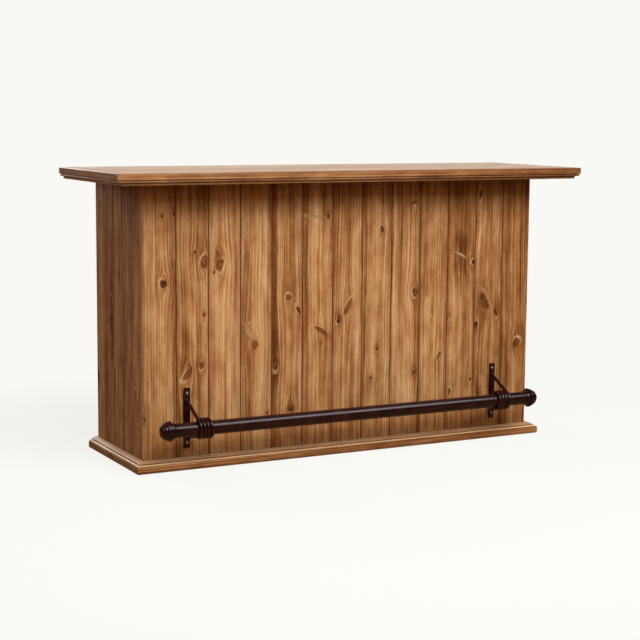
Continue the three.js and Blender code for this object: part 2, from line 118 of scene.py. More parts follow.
def finish_piece(piece, slot, *nodes):
    """Ties a piece to the body and hides the nodes that it covers; the slot is not used."""
    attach(piece, "root")
    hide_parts(*nodes)


def once_round(count):
    """Angles at even steps."""
    return np.linspace(0, TURN, count, endpoint=False)


def shade(mesh, angle=32):
    """Smooth faces, with creases where they meet at more than the angle."""
    mesh.polygons.foreach_set("use_smooth", [True] * len(mesh.polygons))
    mesh.set_sharp_from_angle(angle=math.radians(angle))


def meshed(shape, name, angle):
    """A bmesh, used up, as a shaded mesh."""
    bmesh.ops.recalc_face_normals(shape, faces=shape.faces)
    mesh = bpy.data.meshes.new(name)
    shape.to_mesh(mesh)
    shape.free()
    shade(mesh, angle)
    return mesh


def vertices_mm(mesh):
    """The points of a mesh in mm, one row each."""
    place = np.empty(len(mesh.vertices) * 3)
    mesh.vertices.foreach_get("co", place)
    return place.reshape(-1, 3) / MM


def store(mesh, name, columns):
    """Writes one value, or three as a vector, to each point."""
    values = np.column_stack(columns).astype(np.float32)
    kind, field = ("FLOAT_VECTOR", "vector") if values.shape[1] == 3 else ("FLOAT", "value")
    mesh.attributes.new(name, kind, "POINT").data.foreach_set(field, values.ravel())


def stored(mesh, name, kind=np.float32):
    """Reads each point's value."""
    values = np.empty(len(mesh.vertices), dtype=kind)
    mesh.attributes[name].data.foreach_get("value", values)
    return values


def shape_tree(name, inputs):
    """An empty geometry tree with the named inputs, and its input sockets."""
    tree = bpy.data.node_groups.new(name, "GeometryNodeTree")
    tree.interface.new_socket("Geometry", in_out="INPUT", socket_type="NodeSocketGeometry")
    for key, kind in {**inputs, "Finish": "Material"}.items():
        tree.interface.new_socket(key, in_out="INPUT", socket_type="NodeSocket" + kind)
    tree.interface.new_socket("Geometry", in_out="OUTPUT", socket_type="NodeSocketGeometry")
    return tree, add(tree, "GroupInput").outputs


def end_tree(tree, given, shape):
    """Ends a geometry tree with plain geometry in the given finish."""
    real = add(tree, "RealizeInstances", {"Geometry": shape})
    done = add(tree, "SetMaterial", {"Geometry": real, "Material": given["Finish"]})
    add(tree, "GroupOutput", {0: done})
    return tree


def grown(name, tree, values, start=None):
    """The plain mesh that a node tree makes from its named values, as an object."""
    carrier = placed(name + "_carrier", start or bpy.data.meshes.new(name + "_carrier"))
    modifier = carrier.modifiers.new("shape", "NODES")
    modifier.node_group = tree
    items = [item for item in tree.interface.items_tree if item.in_out == "INPUT"]
    sockets = {item.name: item.identifier for item in items}
    for key, value in values.items():
        modifier[sockets[key]] = value
    depsgraph = bpy.context.evaluated_depsgraph_get()
    mesh = bpy.data.meshes.new_from_object(carrier.evaluated_get(depsgraph), depsgraph=depsgraph)
    mesh.name = name
    bpy.data.objects.remove(carrier)
    return placed(name, mesh)


# Camera, at the photograph's viewing angle

CAMERA_PLACE = (-2.8076, -5.2871, 1.2890)
CAMERA_AZIMUTH, CAMERA_ELEVATION, CAMERA_ROLL = (math.radians(a) for a in (-27.74, 7.69, 0.451))
CAMERA_LENS, CAMERA_SENSOR = 88.1, 36.0


def add_camera():
    """The camera looks along its azimuth and elevation and leans by its roll."""
    camera = bpy.data.cameras.new("photo_camera")
    camera.lens, camera.sensor_width = CAMERA_LENS, CAMERA_SENSOR
    turns = ((CAMERA_AZIMUTH, "Z"), (math.pi / 2 - CAMERA_ELEVATION, "X"), (CAMERA_ROLL, "Z"))
    first, second, third = (Matrix.Rotation(angle, 4, axis) for angle, axis in turns)
    holder = placed("photo_camera", camera)
    holder.matrix_world = Matrix.Translation(CAMERA_PLACE) @ first @ second @ third
    scene.camera = holder


# Studio: soft lamps, a pale room and a pale floor that keeps the counter's shadow

BACKDROP = "#F9F8F4"
BACKDROP_WAY = (0.6, 1.0, 0.0)  # the pale backdrop stands behind the counter and to its right
BACKDROP_EDGE = {1: 0.82, 2: 1.12}  # how far that way it begins and is full, as a map range
ROOM_TINT = "#FFDDB4"  # wood and lamps warm what comes back from the room
AMBIENT = 0.05
SOFTBOXES = {
    # name: place, aim, width and height in metres, watts
    "key_softbox": ((0.6, -3.8, 4.5), (0.0, -0.2, 0.5), (7.0, 3.8), 366),
    "strip_softbox": ((1.4, -3.3, 4.1), (0.4, -0.25, 0.2), (7.5, 0.35), 135),
    "side_softbox": ((-4.6, -0.6, 3.6), (-0.8, 0.0, 0.5), (2.4, 2.4), 34),
    "back_softbox": ((-1.2, 4.6, 2.4), (0.0, 0.3, 0.5), (3.0, 2.0), 130),
}
FLOOR_RADIUS, FLOOR_SIDES = 14.0, 96
FLOOR_SHADOW = 0.15  # share of the floor's colour that takes the light and shadow
FLOOR_DIM = "#A07F60"  # what the floor throws back at the counter
FLOOR_GLOW = "#F7F7F3"  # near the counter, where light and shadow take their share
FLOOR_FADE = {1: 1.5, 2: 3.2}  # metres over which the shadow's share runs out, as a map range


def background_rays(tree, behind):
    """1 for rays that see the pale backdrop: the camera's, and reflections of what lies behind."""
    path = add(tree, "LightPath").outputs
    mirrored = add(tree, "Math", {0: path["Is Glossy Ray"], 1: path["Is Transmission Ray"]}, LARGER)
    mirrored = add(tree, "Math", {0: mirrored, 1: behind}, TIMES)
    return add(tree, "Math", {0: path["Is Camera Ray"], 1: mirrored}, LARGER)


def behind_counter(tree):
    """0 on the customers' side, where the studio is dim, and 1 towards the backdrop."""
    place = add(tree, "TexCoord").outputs["Generated"]
    back = add(tree, "VectorMath", {0: place, 1: BACKDROP_WAY}, {"operation": "DOT_PRODUCT"})
    return add(tree, "MapRange", {0: back.outputs["Value"], **BACKDROP_EDGE}, SMOOTH)


def add_world():
    """A dim warm room that shows as the pale backdrop behind the counter."""
    world = bpy.data.worlds.new("studio")
    world.use_nodes = True
    scene.world = world
    tree = world.node_tree
    tree.nodes.clear()
    room = add(tree, "Background", {"Color": linear(ROOM_TINT), "Strength": AMBIENT})
    pale = add(tree, "Background", {"Color": linear(BACKDROP), "Strength": 1.0})
    seen = background_rays(tree, behind_counter(tree))
    mixed = add(tree, "MixShader", {0: seen, 1: room, 2: pale})
    add(tree, "OutputWorld", {"Surface": mixed})


def add_lamps():
    """Soft area lamps, each turned to its aim."""
    for name, (place, aim, (width, height), watts) in SOFTBOXES.items():
        lamp = bpy.data.lights.new(name, "AREA")
        lamp.shape, lamp.size, lamp.size_y, lamp.energy = "RECTANGLE", width, height, watts
        holder = placed(name, lamp)
        holder.location = place
        holder.rotation_euler = (Vector(aim) - Vector(place)).to_track_quat("-Z", "Y").to_euler()


def add_floor():
    """A floor that glows like the backdrop; near the counter a share of it takes light and shadow."""
    material, tree = new_material("pale_floor")
    place = add(tree, "TexCoord").outputs["Object"]
    reach = add(tree, "VectorMath", {0: place}, {"operation": "LENGTH"}).outputs["Value"]
    fade = add(tree, "MapRange", {0: reach, **FLOOR_FADE}, SMOOTH)
    glow = add(tree, "MapRange", {0: reach, **FLOOR_FADE, 3: 1 - FLOOR_SHADOW}, SMOOTH)
    seen = background_rays(tree, 0.0)
    share = add(tree, "Math", {0: glow, 1: seen}, TIMES)
    paint = add(tree, "Mix", {0: seen, 6: linear(FLOOR_DIM), 7: linear(BACKDROP)}, COLOURS)
    lit = add(tree, "BsdfDiffuse", {"Color": paint})
    tint = add(tree, "Mix", {0: fade, 6: linear(FLOOR_GLOW), 7: linear(BACKDROP)}, COLOURS)
    bright = add(tree, "Emission", {"Color": tint, "Strength": 1.0})
    mixed = add(tree, "MixShader", {0: share, 1: lit, 2: bright})
    add(tree, "OutputMaterial", {"Surface": mixed})
    corners = [(math.cos(a) * FLOOR_RADIUS, math.sin(a) * FLOOR_RADIUS, 0)
               for a in once_round(FLOOR_SIDES)]
    mesh = new_mesh("floor", corners, faces=[list(range(FLOOR_SIDES))])
    placed("floor", mesh, material)


# Materials

# The pine's figure: width across the grain and length along it in mm, detail and share
PINE_FIGURE = [
    (34.0, 1100.0, 2.0, 0.66),  # heartwood and sapwood bands
    (5.5, 900.0, 3.0, 0.98),  # growth rings, as wide as they show at this distance
    (1.8, 480.0, 2.0, 0.64),  # fine lines inside a ring
    (1.2, 18.0, 1.0, 0.3),  # resin ducts
    (25.0, 100.0, 3.0, 0.66),  # blotches where the stain took unevenly
]
FIGURE_ROUGHNESS = 0.55
# Lines of hard wood, which took little stain, and of soft wood: width and length in mm, change and seed
PINE_LINES = [(9.0, 2200.0, 0.16, 7.3), (14.0, 2000.0, -0.14, 14.6)]
LINE_SHARPNESS = 0.04
BLUSH_SIZE = (26.0, 90.0, 1.0)  # red patches, in mm across and along
BLUSH, BLUSH_BY_BOARD = {1: 0.45, 2: 0.75, 4: 0.3}, 0.5  # as a map range, and the board's own share
CRUMB = 7.0  # mm between the ragged bites in a knot's edge
CRACKS = 2.2  # how far cracks break up a dark heart
# Parts of a knot as map ranges, in its own radii, and its dead wood, in darkness
RIM_INSIDE, RIM_OUTSIDE = {1: 0.9, 2: 1.35}, {1: 2.1, 2: 1.3}
BARK_LINE, KNOT_WOOD, DEAD_WOOD = {1: 0.35, 2: 1.0, 4: 0.9}, {1: 1.3, 2: 0.75}, {1: 0.4, 2: 0.95}
SOFT_ROUGHER, HARD_SMOOTHER = 0.1, 0.06  # change of roughness in dark soft wood and in pale hard wood
GRAIN_RELIEF, GRAIN_STRENGTH = 0.35, 0.25  # mm, and how much of it shows


def pine(name, stops, colours, gloss, shine):
    """Planed pine: growth rings as streaks along each board, knots with a dark bark line and a pale rim,
    stain that gathers in joints and wears off the arrises, and painted shade and painted highlights laid on
    through the same stain."""
    heart, flesh, bark, rim, joint, rubbed_and_highlight, reddish = map(linear, colours)
    material, tree = new_material(name)
    grain = add(tree, "Attribute", None, {"attribute_name": "grain"}).outputs["Vector"]
    fields = []
    for field in ("tone", "knot"):
        vector = add(tree, "Attribute", None, {"attribute_name": field}).outputs["Vector"]
        fields += add(tree, "SeparateXYZ", {0: vector}).outputs
    tone, red, stain_and_painted_light, ratio, dark, halo = fields

    middle = 0.5 - sum(row[3] for row in PINE_FIGURE) / 2
    level = add(tree, "Math", {0: tone, 1: middle})
    for width, length, detail, share in PINE_FIGURE:
        scaled = add(tree, "VectorMath", {0: grain, 1: (width, length, 1.0)}, DIVIDED)
        streaks = add(tree, "TexNoise", {
            "Vector": scaled, "Scale": 1.0, "Detail": detail, "Roughness": FIGURE_ROUGHNESS})
        level = add(tree, "Math", {0: streaks, 1: share, 2: level}, TIMES_PLUS)
    for width, length, change, seed in PINE_LINES:
        scaled = add(tree, "VectorMath", {0: grain, 1: (width, length, 1.0)}, DIVIDED)
        folds = add(tree, "TexNoise", {
            "Vector": scaled, "W": seed, "Scale": 1.0, "Detail": 1.0}, {"noise_dimensions": "4D"})
        apart = add(tree, "Math", {0: folds, 1: 0.5}, LESS)
        apart = add(tree, "Math", {0: apart}, {"operation": "ABSOLUTE"})
        line = add(tree, "MapRange", {0: apart, 1: LINE_SHARPNESS, 2: 0.0}, SMOOTH)
        level = add(tree, "Math", {0: line, 1: change, 2: level}, TIMES_PLUS)
    colour = add(tree, "ValToRGB", {0: level}, {"stops": stops})

    scaled = add(tree, "VectorMath", {0: grain, 1: BLUSH_SIZE}, DIVIDED)
    blotch = add(tree, "TexNoise", {"Vector": scaled, "Scale": 1.0, "Detail": 2.0})
    blush = add(tree, "MapRange", {0: blotch, **BLUSH})
    blush = add(tree, "Math", {0: red, 1: BLUSH_BY_BOARD, 2: blush}, {**TIMES_PLUS, **CLAMPED})
    colour = add(tree, "Mix", {0: blush, 6: colour, 7: reddish}, {**COLOURS, "blend_type": "MULTIPLY"})

    place = add(tree, "TexCoord").outputs["Object"]
    crumbs = add(tree, "TexNoise", {"Vector": place, "Scale": 1 / (CRUMB * MM), "Detail": 2.0})
    ragged = add(tree, "Math", {0: crumbs, 1: 0.5}, LESS)
    edge = add(tree, "Math", {0: ragged, 1: ratio})
    cracked = add(tree, "Math", {0: ragged, 1: CRACKS, 2: dark}, TIMES_PLUS)
    rise, fall, outline, inside = (
        add(tree, "MapRange", {0: edge, **part}, SMOOTH)
        for part in (RIM_INSIDE, RIM_OUTSIDE, BARK_LINE, KNOT_WOOD))
    dead = add(tree, "MapRange", {0: cracked, **DEAD_WOOD}, SMOOTH)
    ring = add(tree, "Math", {0: rise, 1: fall}, TIMES)
    ring = add(tree, "Math", {0: ring, 1: halo}, TIMES)
    pale = add(tree, "Math", {0: dark, 1: -1.0}, {**TIMES, **CLAMPED})
    covered = add(tree, "Math", {0: pale, 1: halo}, LARGER)
    bare = add(tree, "Math", {0: 1.0, 1: covered}, {**LESS, **CLAMPED})
    outline = add(tree, "Math", {0: outline, 1: bare}, TIMES)
    # A negative stain pales the wood with the rubbed colour: wear on the arrises, and painted highlights
    worn_and_highlit = add(tree, "Math", {0: stain_and_painted_light, 1: -1.0}, TIMES)
    knot = flesh
    for share, laid in ((pale, rim), (outline, bark), (dead, heart)):
        knot = add(tree, "Mix", {0: share, 6: knot, 7: laid}, COLOURS)
    # The joint colour lays the stain, and the painted shade that rides on it
    for share, laid in ((ring, rim), (inside, knot), (stain_and_painted_light, joint), (worn_and_highlit, rubbed_and_highlight)):
        colour = add(tree, "Mix", {0: share, 6: colour, 7: laid}, COLOURS)

    sheen = add(tree, "MapRange", {
        0: level, 1: 0.2, 2: 0.8,
        3: gloss + SOFT_ROUGHER, 4: gloss - HARD_SMOOTHER})
    relief = add(tree, "Bump", {"Strength": GRAIN_STRENGTH, "Distance": GRAIN_RELIEF * MM, "Height": level})
    surface = add(tree, "BsdfPrincipled", {
        "Base Color": colour, "Roughness": sheen, "IOR": 1.5, "Normal": relief, "Specular IOR Level": shine})
    add(tree, "OutputMaterial", {"Surface": surface})
    return material


# Colours of the knots' heart, flesh, bark and rim, of stained joints and painted shade, of rubbed arrises
# and painted highlights, and of red patches
STAINED_STOPS = [(0.0, "#5A2F0D"), (0.3, "#8A5A2F"), (0.5, "#A8794C"), (0.7, "#C09566"), (1.0, "#D6B386")]
STAINED_COLOURS = ("#341404", "#82502A", "#421D06", "#CFA878", "#5E2806", "#E6C49C", "#EBC4AE")
INSIDE_STOPS = [(0.0, "#7D5228"), (0.3, "#A67A48"), (0.5, "#B98C5A"), (0.68, "#C99F6D"), (1.0, "#DDBB8C")]
INSIDE_COLOURS = ("#3A2110", "#8A5A30", "#4A2C15", "#E0C298", "#5A3A1C", "#D4B184", "#F0D2BE")

# Pine with a rubbed brown stain and wax: warm brown streaks, dark joints, little shine
stained_pine = pine("stained_pine", STAINED_STOPS, STAINED_COLOURS, gloss=0.45, shine=0.15)

# The same pine under the top's satin varnish, which gives a pale sheen at a low angle
varnished_pine = pine("varnished_pine", STAINED_STOPS, STAINED_COLOURS, gloss=0.34, shine=0.45)

# The same pine inside, thinly stained and left matt: paler and drier
inside_pine = pine("inside_pine", INSIDE_STOPS, INSIDE_COLOURS, gloss=0.6, shine=0.25)


def metal_finish(name, stops, cloud, cloudy, dull, ripple, relief, surface):
    """A finish on metal: a cloud changes its colour and roughness, and ripples give it relief. Cloud and
    ripples have a size in mm and a detail, and the relief a strength and a depth in mm."""
    material, tree = new_material(name)
    place = add(tree, "TexCoord").outputs["Object"]
    clouds, ripples = (
        add(tree, "TexNoise", {"Vector": place, "Scale": 1 / (size * MM), "Detail": detail})
        for size, detail in (cloud, ripple))
    colour = add(tree, "ValToRGB", {0: clouds}, {"stops": stops})
    (low, high), (glossy, matt), (strength, depth) = cloudy, dull, relief
    rough = add(tree, "MapRange", {0: clouds, 1: low, 2: high, 3: glossy, 4: matt})
    bump = add(tree, "Bump", {"Strength": strength, "Distance": depth * MM, "Height": ripples})
    shader = add(tree, "BsdfPrincipled", {
        "Base Color": colour, "Roughness": rough, "Normal": bump, **surface})
    add(tree, "OutputMaterial", {"Surface": shader})
    return material


# Iron brushed with dark oxblood-brown enamel: semi-gloss, with faint brush ripples and dull rubbed patches
iron_paint = metal_finish(
    "oxblood_paint", [(0.3, "#1A0506"), (0.55, "#260A0C"), (0.8, "#361315")], cloud=(60, 3.0),
    cloudy=(0.35, 0.7), dull=(0.17, 0.24), ripple=(3.5, 2.0), relief=(0.02, 0.2),
    surface={"IOR": 1.5, "Specular IOR Level": 0.25})

# Zinc plated steel: bright grey with a faint cloudy bloom
zinc = metal_finish(
    "zinc_plate", [(0.3, "#797771"), (0.7, "#AAA7A0")], cloud=(4, 3.0), cloudy=(0.3, 0.7),
    dull=(0.24, 0.42), ripple=(4, 3.0), relief=(0.1, 0.1), surface={"Metallic": 1.0})


# Grain: each board gets its own rings, bent round its knots

Knot = namedtuple("Knot", "board across height half_width half_height tilt dark halo red", defaults=(0.0,))
Streak = namedtuple("Streak", "board across half_width low high change red", defaults=(0.0,))
HALF_BOARD = 63
# The pith: mm beside a board's middle line, mm below its face, and how it leans along the board
PITH_ASIDE, PITH_BELOW, PITH_LEAN = (110, 220), (15, 90), 0.008
WAVES, WAVE_SWING, WAVE_LUCK = (120, 230, 470, 900), 0.0032, (0.4, 1.0)  # mm, share of that, and its range
SWERVE, SWERVE_WIDEST, SWERVE_STRETCH = 1.5, 13, 2.2  # how wide and how long rings bend round a knot
NO_KNOT = 9.0  # radii from the next knot where there is none
KNOT_WOBBLE = 0.1
RIM_MEAN, RIM_SWING = 0.25, 0.6  # the pale rim shows on one side of a knot more than on the other
RED_REACH, WING_REACH, TAIL_REACH = 1.6, (2.4, 1.8), (1.5, 4)  # radii, of red and of stain round a knot
WING_SHARE, TAIL_SHARE, LEAST_DARK = 0.6, 0.4, 0.3
KNOT_SMUDGE = 0.36  # how much darker the wood lies round a knot
STREAK_END = 60.0  # mm over which a streak runs out
RINGS_APART, BOARDS_APART = 400, 13.7  # between boards in the figure, so that no two are alike
RED_LUCK = (-0.2, 0.25)
# Knots that the photograph doesn't show: half width in mm, place across and along in shares of the board,
# height in widths, lean in degrees, darkness, pale rim and redness
KNOT_LUCK = ((3.5, 12), (0.1, 0.9), (0.04, 0.96), (1.0, 1.7), (-25, 25), (0.1, 0.95), (0.2, 0.9), (0, 0.6))
KNOTS_A_BOARD = 2.6


def ring_lines(across, along, depth, knots, luck):
    """The growth ring, in mm from the pith, at each point of one board."""
    pith_across = luck.choice((-1, 1)) * luck.uniform(*PITH_ASIDE) + HALF_BOARD
    pith_depth = luck.uniform(*PITH_BELOW)
    lean = luck.uniform(-PITH_LEAN, PITH_LEAN)
    bent = across.copy()
    for reach in WAVES:
        swing = luck.uniform(*WAVE_LUCK) * reach * WAVE_SWING
        bent += swing * np.sin(TURN * along / reach + luck.uniform(0, TURN))
    for knot in knots:
        width = SWERVE * min(knot.half_width, SWERVE_WIDEST)
        stretch = SWERVE_STRETCH * max(1.0, knot.half_height / knot.half_width / 2)
        side = across - knot.across
        rise = (along - knot.height) / stretch
        bent -= side * width ** 2 / np.maximum(side ** 2 + rise ** 2, width ** 2)
    return np.hypot(bent - pith_across, depth + pith_depth) + lean * along


def knot_fields(across, along, knots, luck):
    """Distance to the nearest knot in its radii, its darkness and pale rim, and red and stain round it."""
    ratio = np.full(len(across), NO_KNOT)
    dark, halo, red, smudge = (np.zeros(len(across)) for _ in range(4))
    for knot in knots:
        lean = math.radians(knot.tilt)
        side, rise = across - knot.across, along - knot.height
        over = (side * math.cos(lean) - rise * math.sin(lean)) / knot.half_width
        up = (side * math.sin(lean) + rise * math.cos(lean)) / knot.half_height
        angle = np.arctan2(up, over)
        first, second, third, way = luck.uniform(0, TURN, 4)
        wobble = 1 + KNOT_WOBBLE * np.sin(2 * angle + first) + KNOT_WOBBLE * np.sin(3 * angle + second)
        own = np.hypot(over, up) * wobble
        nearer = own < ratio
        sided = np.clip(RIM_MEAN + RIM_SWING * np.sin(angle + way), 0, 1)
        ratio[nearer], dark[nearer], halo[nearer] = own[nearer], knot.dark, (knot.halo * sided)[nearer]
        red += knot.red * np.exp(-(own / RED_REACH) ** 2)
        beside, above = over - np.cos(third), up - np.sin(third)
        wings = np.exp(-(beside / WING_REACH[0]) ** 2 - (above / WING_REACH[1]) ** 2)
        tails = np.exp(-(side / knot.half_width / TAIL_REACH[0]) ** 2
                       - (rise / knot.half_height / TAIL_REACH[1]) ** 2)
        smudge += max(LEAST_DARK, knot.dark) * (WING_SHARE * wings + TAIL_SHARE * tails)
    return ratio, dark, halo, red, smudge


def streak_fields(across, along, streaks):
    """How much the streaks lighten and redden one board."""
    change, red = np.zeros(len(across)), np.zeros(len(across))
    for streak in streaks:
        beside = np.exp(-((across - streak.across) / streak.half_width) ** 2)
        begins = np.clip((along - streak.low) / STREAK_END + 0.5, 0, 1)
        ends = np.clip((streak.high - along) / STREAK_END + 0.5, 0, 1)
        change += streak.change * beside * begins * ends
        red += streak.red * beside * begins * ends
    return change, red


def lay_grain(mesh, across, along, depth, board, stain_and_painted_light, tones, luck, knots=(), streaks=(), shade_red=0.0):
    """Writes the grain, knot and tone attributes that the pine materials read."""
    board, stain_and_painted_light = (np.broadcast_to(values, across.shape) for values in (board, stain_and_painted_light))
    rings, red, tone = (np.zeros(len(across)) for _ in range(3))
    fields = np.zeros((3, len(across)))
    for number in np.unique(board):
        here = board == number
        own_knots, own_streaks = (
            [mark for mark in marks if mark.board == number + 1] for marks in (knots, streaks))
        lines = ring_lines(across[here], along[here], depth[here], own_knots, luck)
        rings[here] = lines + RINGS_APART * number
        *own_fields, red[here], smudge = knot_fields(across[here], along[here], own_knots, luck)
        fields[:, here] = own_fields
        change, blush = streak_fields(across[here], along[here], own_streaks)
        tone[here] = tones[number % len(tones)] - KNOT_SMUDGE * smudge + change
        # On the sides, a painted warm tint of shade adds to the red
        red[here] += luck.uniform(*RED_LUCK) + blush + shade_red
    store(mesh, "grain", (rings, along, BOARDS_APART * board))
    store(mesh, "knot", fields)
    store(mesh, "tone", (tone, red, stain_and_painted_light))


def scattered_knots(count, width, length, luck):
    """Knots for boards that the photograph doesn't show."""
    made = []
    for board in range(1, count + 1):
        for _ in range(luck.poisson(KNOTS_A_BOARD)):
            size, across, height, tall, *looks = (luck.uniform(*span) for span in KNOT_LUCK)
            made.append(Knot(board, across * width, height * length, size, size * tall, *looks))
    return made


def by_board(kind, walls):
    """Marks that are listed by wall and board, as one list of records for each wall."""
    return {wall: [kind(board, *row) for board, rows in boards.items() for row in rows]
            for wall, boards in walls.items()}


# Boarding: one board, repeated along each wall and across the top

FRONT_FACE, BACK_FACE = -169.0, 309.0
HALF_BODY = 820.0
BODY_TOP = 1046.7
BOARD_THICKNESS = 18.0
V_CHAMFER, TOP_CHAMFER = 3.2, 0.8
WALL_STAIN, TOP_STAIN = 1.0, 0.6  # how much stain lies in the joints
STAIN_REACH, STAIN_BESIDE = 7.0, 0.5  # mm that it reaches onto the face, and its share there
JOINT_GAP = 0.3
ARRIS_ROUND = 0.7
FACE_COLUMN = 3.4  # mm between the grain's points across a board
GRAIN_STEP = 7.0  # mm between them along it
CORNER_REACH, CORNER_WEAR = 10.0, -0.22  # the counter's own corners are rubbed pale
# Painted shade under the top's overhang, laid on with the joint stain: from this height in mm, over so many
# mm, and how much
UNDER_TOP_SHADE_FROM, UNDER_TOP_SHADE_OVER, UNDER_TOP_SHADE = 982.0, 22.0, 0.5
WALL_SEED, MOULDING_SEED, TIMBER_SEED = 510, 71, 23


def board_section(width, thickness, chamfer, joint_stain):
    """Half a V joint at each edge of the seen face: x, depth and stain of each point, once round."""
    low, high = JOINT_GAP / 2, width - JOINT_GAP / 2
    columns = max(2, round((width - 2 * chamfer) / FACE_COLUMN))
    face = np.linspace(low + chamfer + ARRIS_ROUND, high - chamfer - ARRIS_ROUND, columns)
    points = [
        (x, 0.0, joint_stain * STAIN_BESIDE * math.exp(-min(x, width - x) / STAIN_REACH)) for x in face]
    right = [
        (high - chamfer - 0.25 * ARRIS_ROUND, 0.12 * ARRIS_ROUND, -0.1),
        (high - chamfer + 0.5 * ARRIS_ROUND, 0.5 * ARRIS_ROUND, 0.1 * joint_stain),
        (high - 0.3 * chamfer, 0.7 * chamfer, 0.85 * joint_stain),
        (high, chamfer, joint_stain),
        (high, thickness - ARRIS_ROUND, joint_stain),
        (high - ARRIS_ROUND, thickness, 0.3 * joint_stain),
    ]
    left = [(low + high - x, y, stain_and_painted_light) for x, y, stain_and_painted_light in reversed(right)]
    return points + right + left


def swept(name, section, stations):
    """A closed section carried along z."""
    outline = np.array(section)
    count, rings = len(outline), len(stations)
    place = np.empty((rings, count, 3))
    place[:, :, :2] = outline[None, :, :2]
    place[:, :, 2] = np.asarray(stations)[:, None]
    faces = [
        (r * count + i, r * count + (i + 1) % count, (r + 1) * count + (i + 1) % count, (r + 1) * count + i)
        for r in range(rings - 1) for i in range(count)
    ]
    faces.append(tuple(range(count - 1, -1, -1)))
    faces.append(tuple((rings - 1) * count + i for i in range(count)))
    mesh = new_mesh(name, (place.reshape(-1, 3) * MM).tolist(), faces=faces)
    store(mesh, "stain_and_painted_light", [np.tile(outline[:, 2], rings)])
    shade(mesh)
    return mesh


def boarding_tree():
    """One board, repeated at a pitch and turned into its place."""
    tree, given = shape_tree("boarding", {
        "Board": "Object", "Count": "Int", "Pitch": "Float", "Start": "Vector", "Turn": "Vector"})
    board = add(tree, "ObjectInfo", {"Object": given["Board"]}).outputs["Geometry"]
    step = add(tree, "CombineXYZ", {"X": given["Pitch"]})
    row = add(tree, "MeshLine", {"Count": given["Count"], "Offset": step})
    boards = add(tree, "InstanceOnPoints", {"Points": row, "Instance": board})
    index = add(tree, "InputIndex")
    numbered = add(tree, "StoreNamedAttribute", {
        "Geometry": boards, "Name": "board", "Value": index}, {"data_type": "INT", "domain": "INSTANCE"})
    turn = add(tree, "EulerToRotation", {0: given["Turn"]})
    stood = add(tree, "Transform", {"Geometry": numbered, "Translation": given["Start"], "Rotation": turn})
    return end_tree(tree, given, stood)


X_AXIS, Y_AXIS, Z_AXIS = np.eye(3)
SIDE_RUN = BACK_FACE - FRONT_FACE - BOARD_THICKNESS - JOINT_GAP
TOP_LEVEL, TOP_THICKNESS = 1067.0, 20.0
TOP_FRONT, TOP_HALF = -248.7, 899.7
Wall = namedtuple(
    "Wall", "nodes count run start across inwards along length thickness chamfer joint finish",
    defaults=(Z_AXIS, BODY_TOP, BOARD_THICKNESS, V_CHAMFER, WALL_STAIN, stained_pine))

WALLS = {
    "front_boarding": Wall(
        "front_board_{:02d}", 13, 2 * HALF_BODY, (-HALF_BODY, FRONT_FACE, 0), X_AXIS, Y_AXIS),
    "left_boarding": Wall(
        "left_side_board_{}", 5, SIDE_RUN, (-HALF_BODY, BACK_FACE, 0), -Y_AXIS, X_AXIS),
    "right_boarding": Wall(
        "right_side_board_{}", 5, SIDE_RUN, (HALF_BODY, BACK_FACE - SIDE_RUN, 0), Y_AXIS, -X_AXIS),
    "top_boarding": Wall(
        "top_board_{}", 3, BACK_FACE - TOP_FRONT, (TOP_HALF, TOP_FRONT, TOP_LEVEL), Y_AXIS, -Z_AXIS,
        -X_AXIS, 2 * TOP_HALF, TOP_THICKNESS, TOP_CHAMFER, TOP_STAIN, varnished_pine),
}

SIDE_SHADE_RED = 0.45  # the sides are painted redder than the front: the warm tint of the shaded side, on both sides

# How much lighter or darker each board took the stain
WALL_TONES = {
    "front_boarding": [-0.05, -0.08, 0.07, 0.03, -0.04, -0.04, -0.05, -0.02, -0.11, 0.0, -0.14, -0.1, -0.15],
    "left_boarding": [0.02, -0.05, 0.03, -0.06, 0.04],
    "right_boarding": [0.03, -0.02, 0.05, 0.0, -0.05],
    "top_boarding": [0.06, 0.01, 0.08],
}

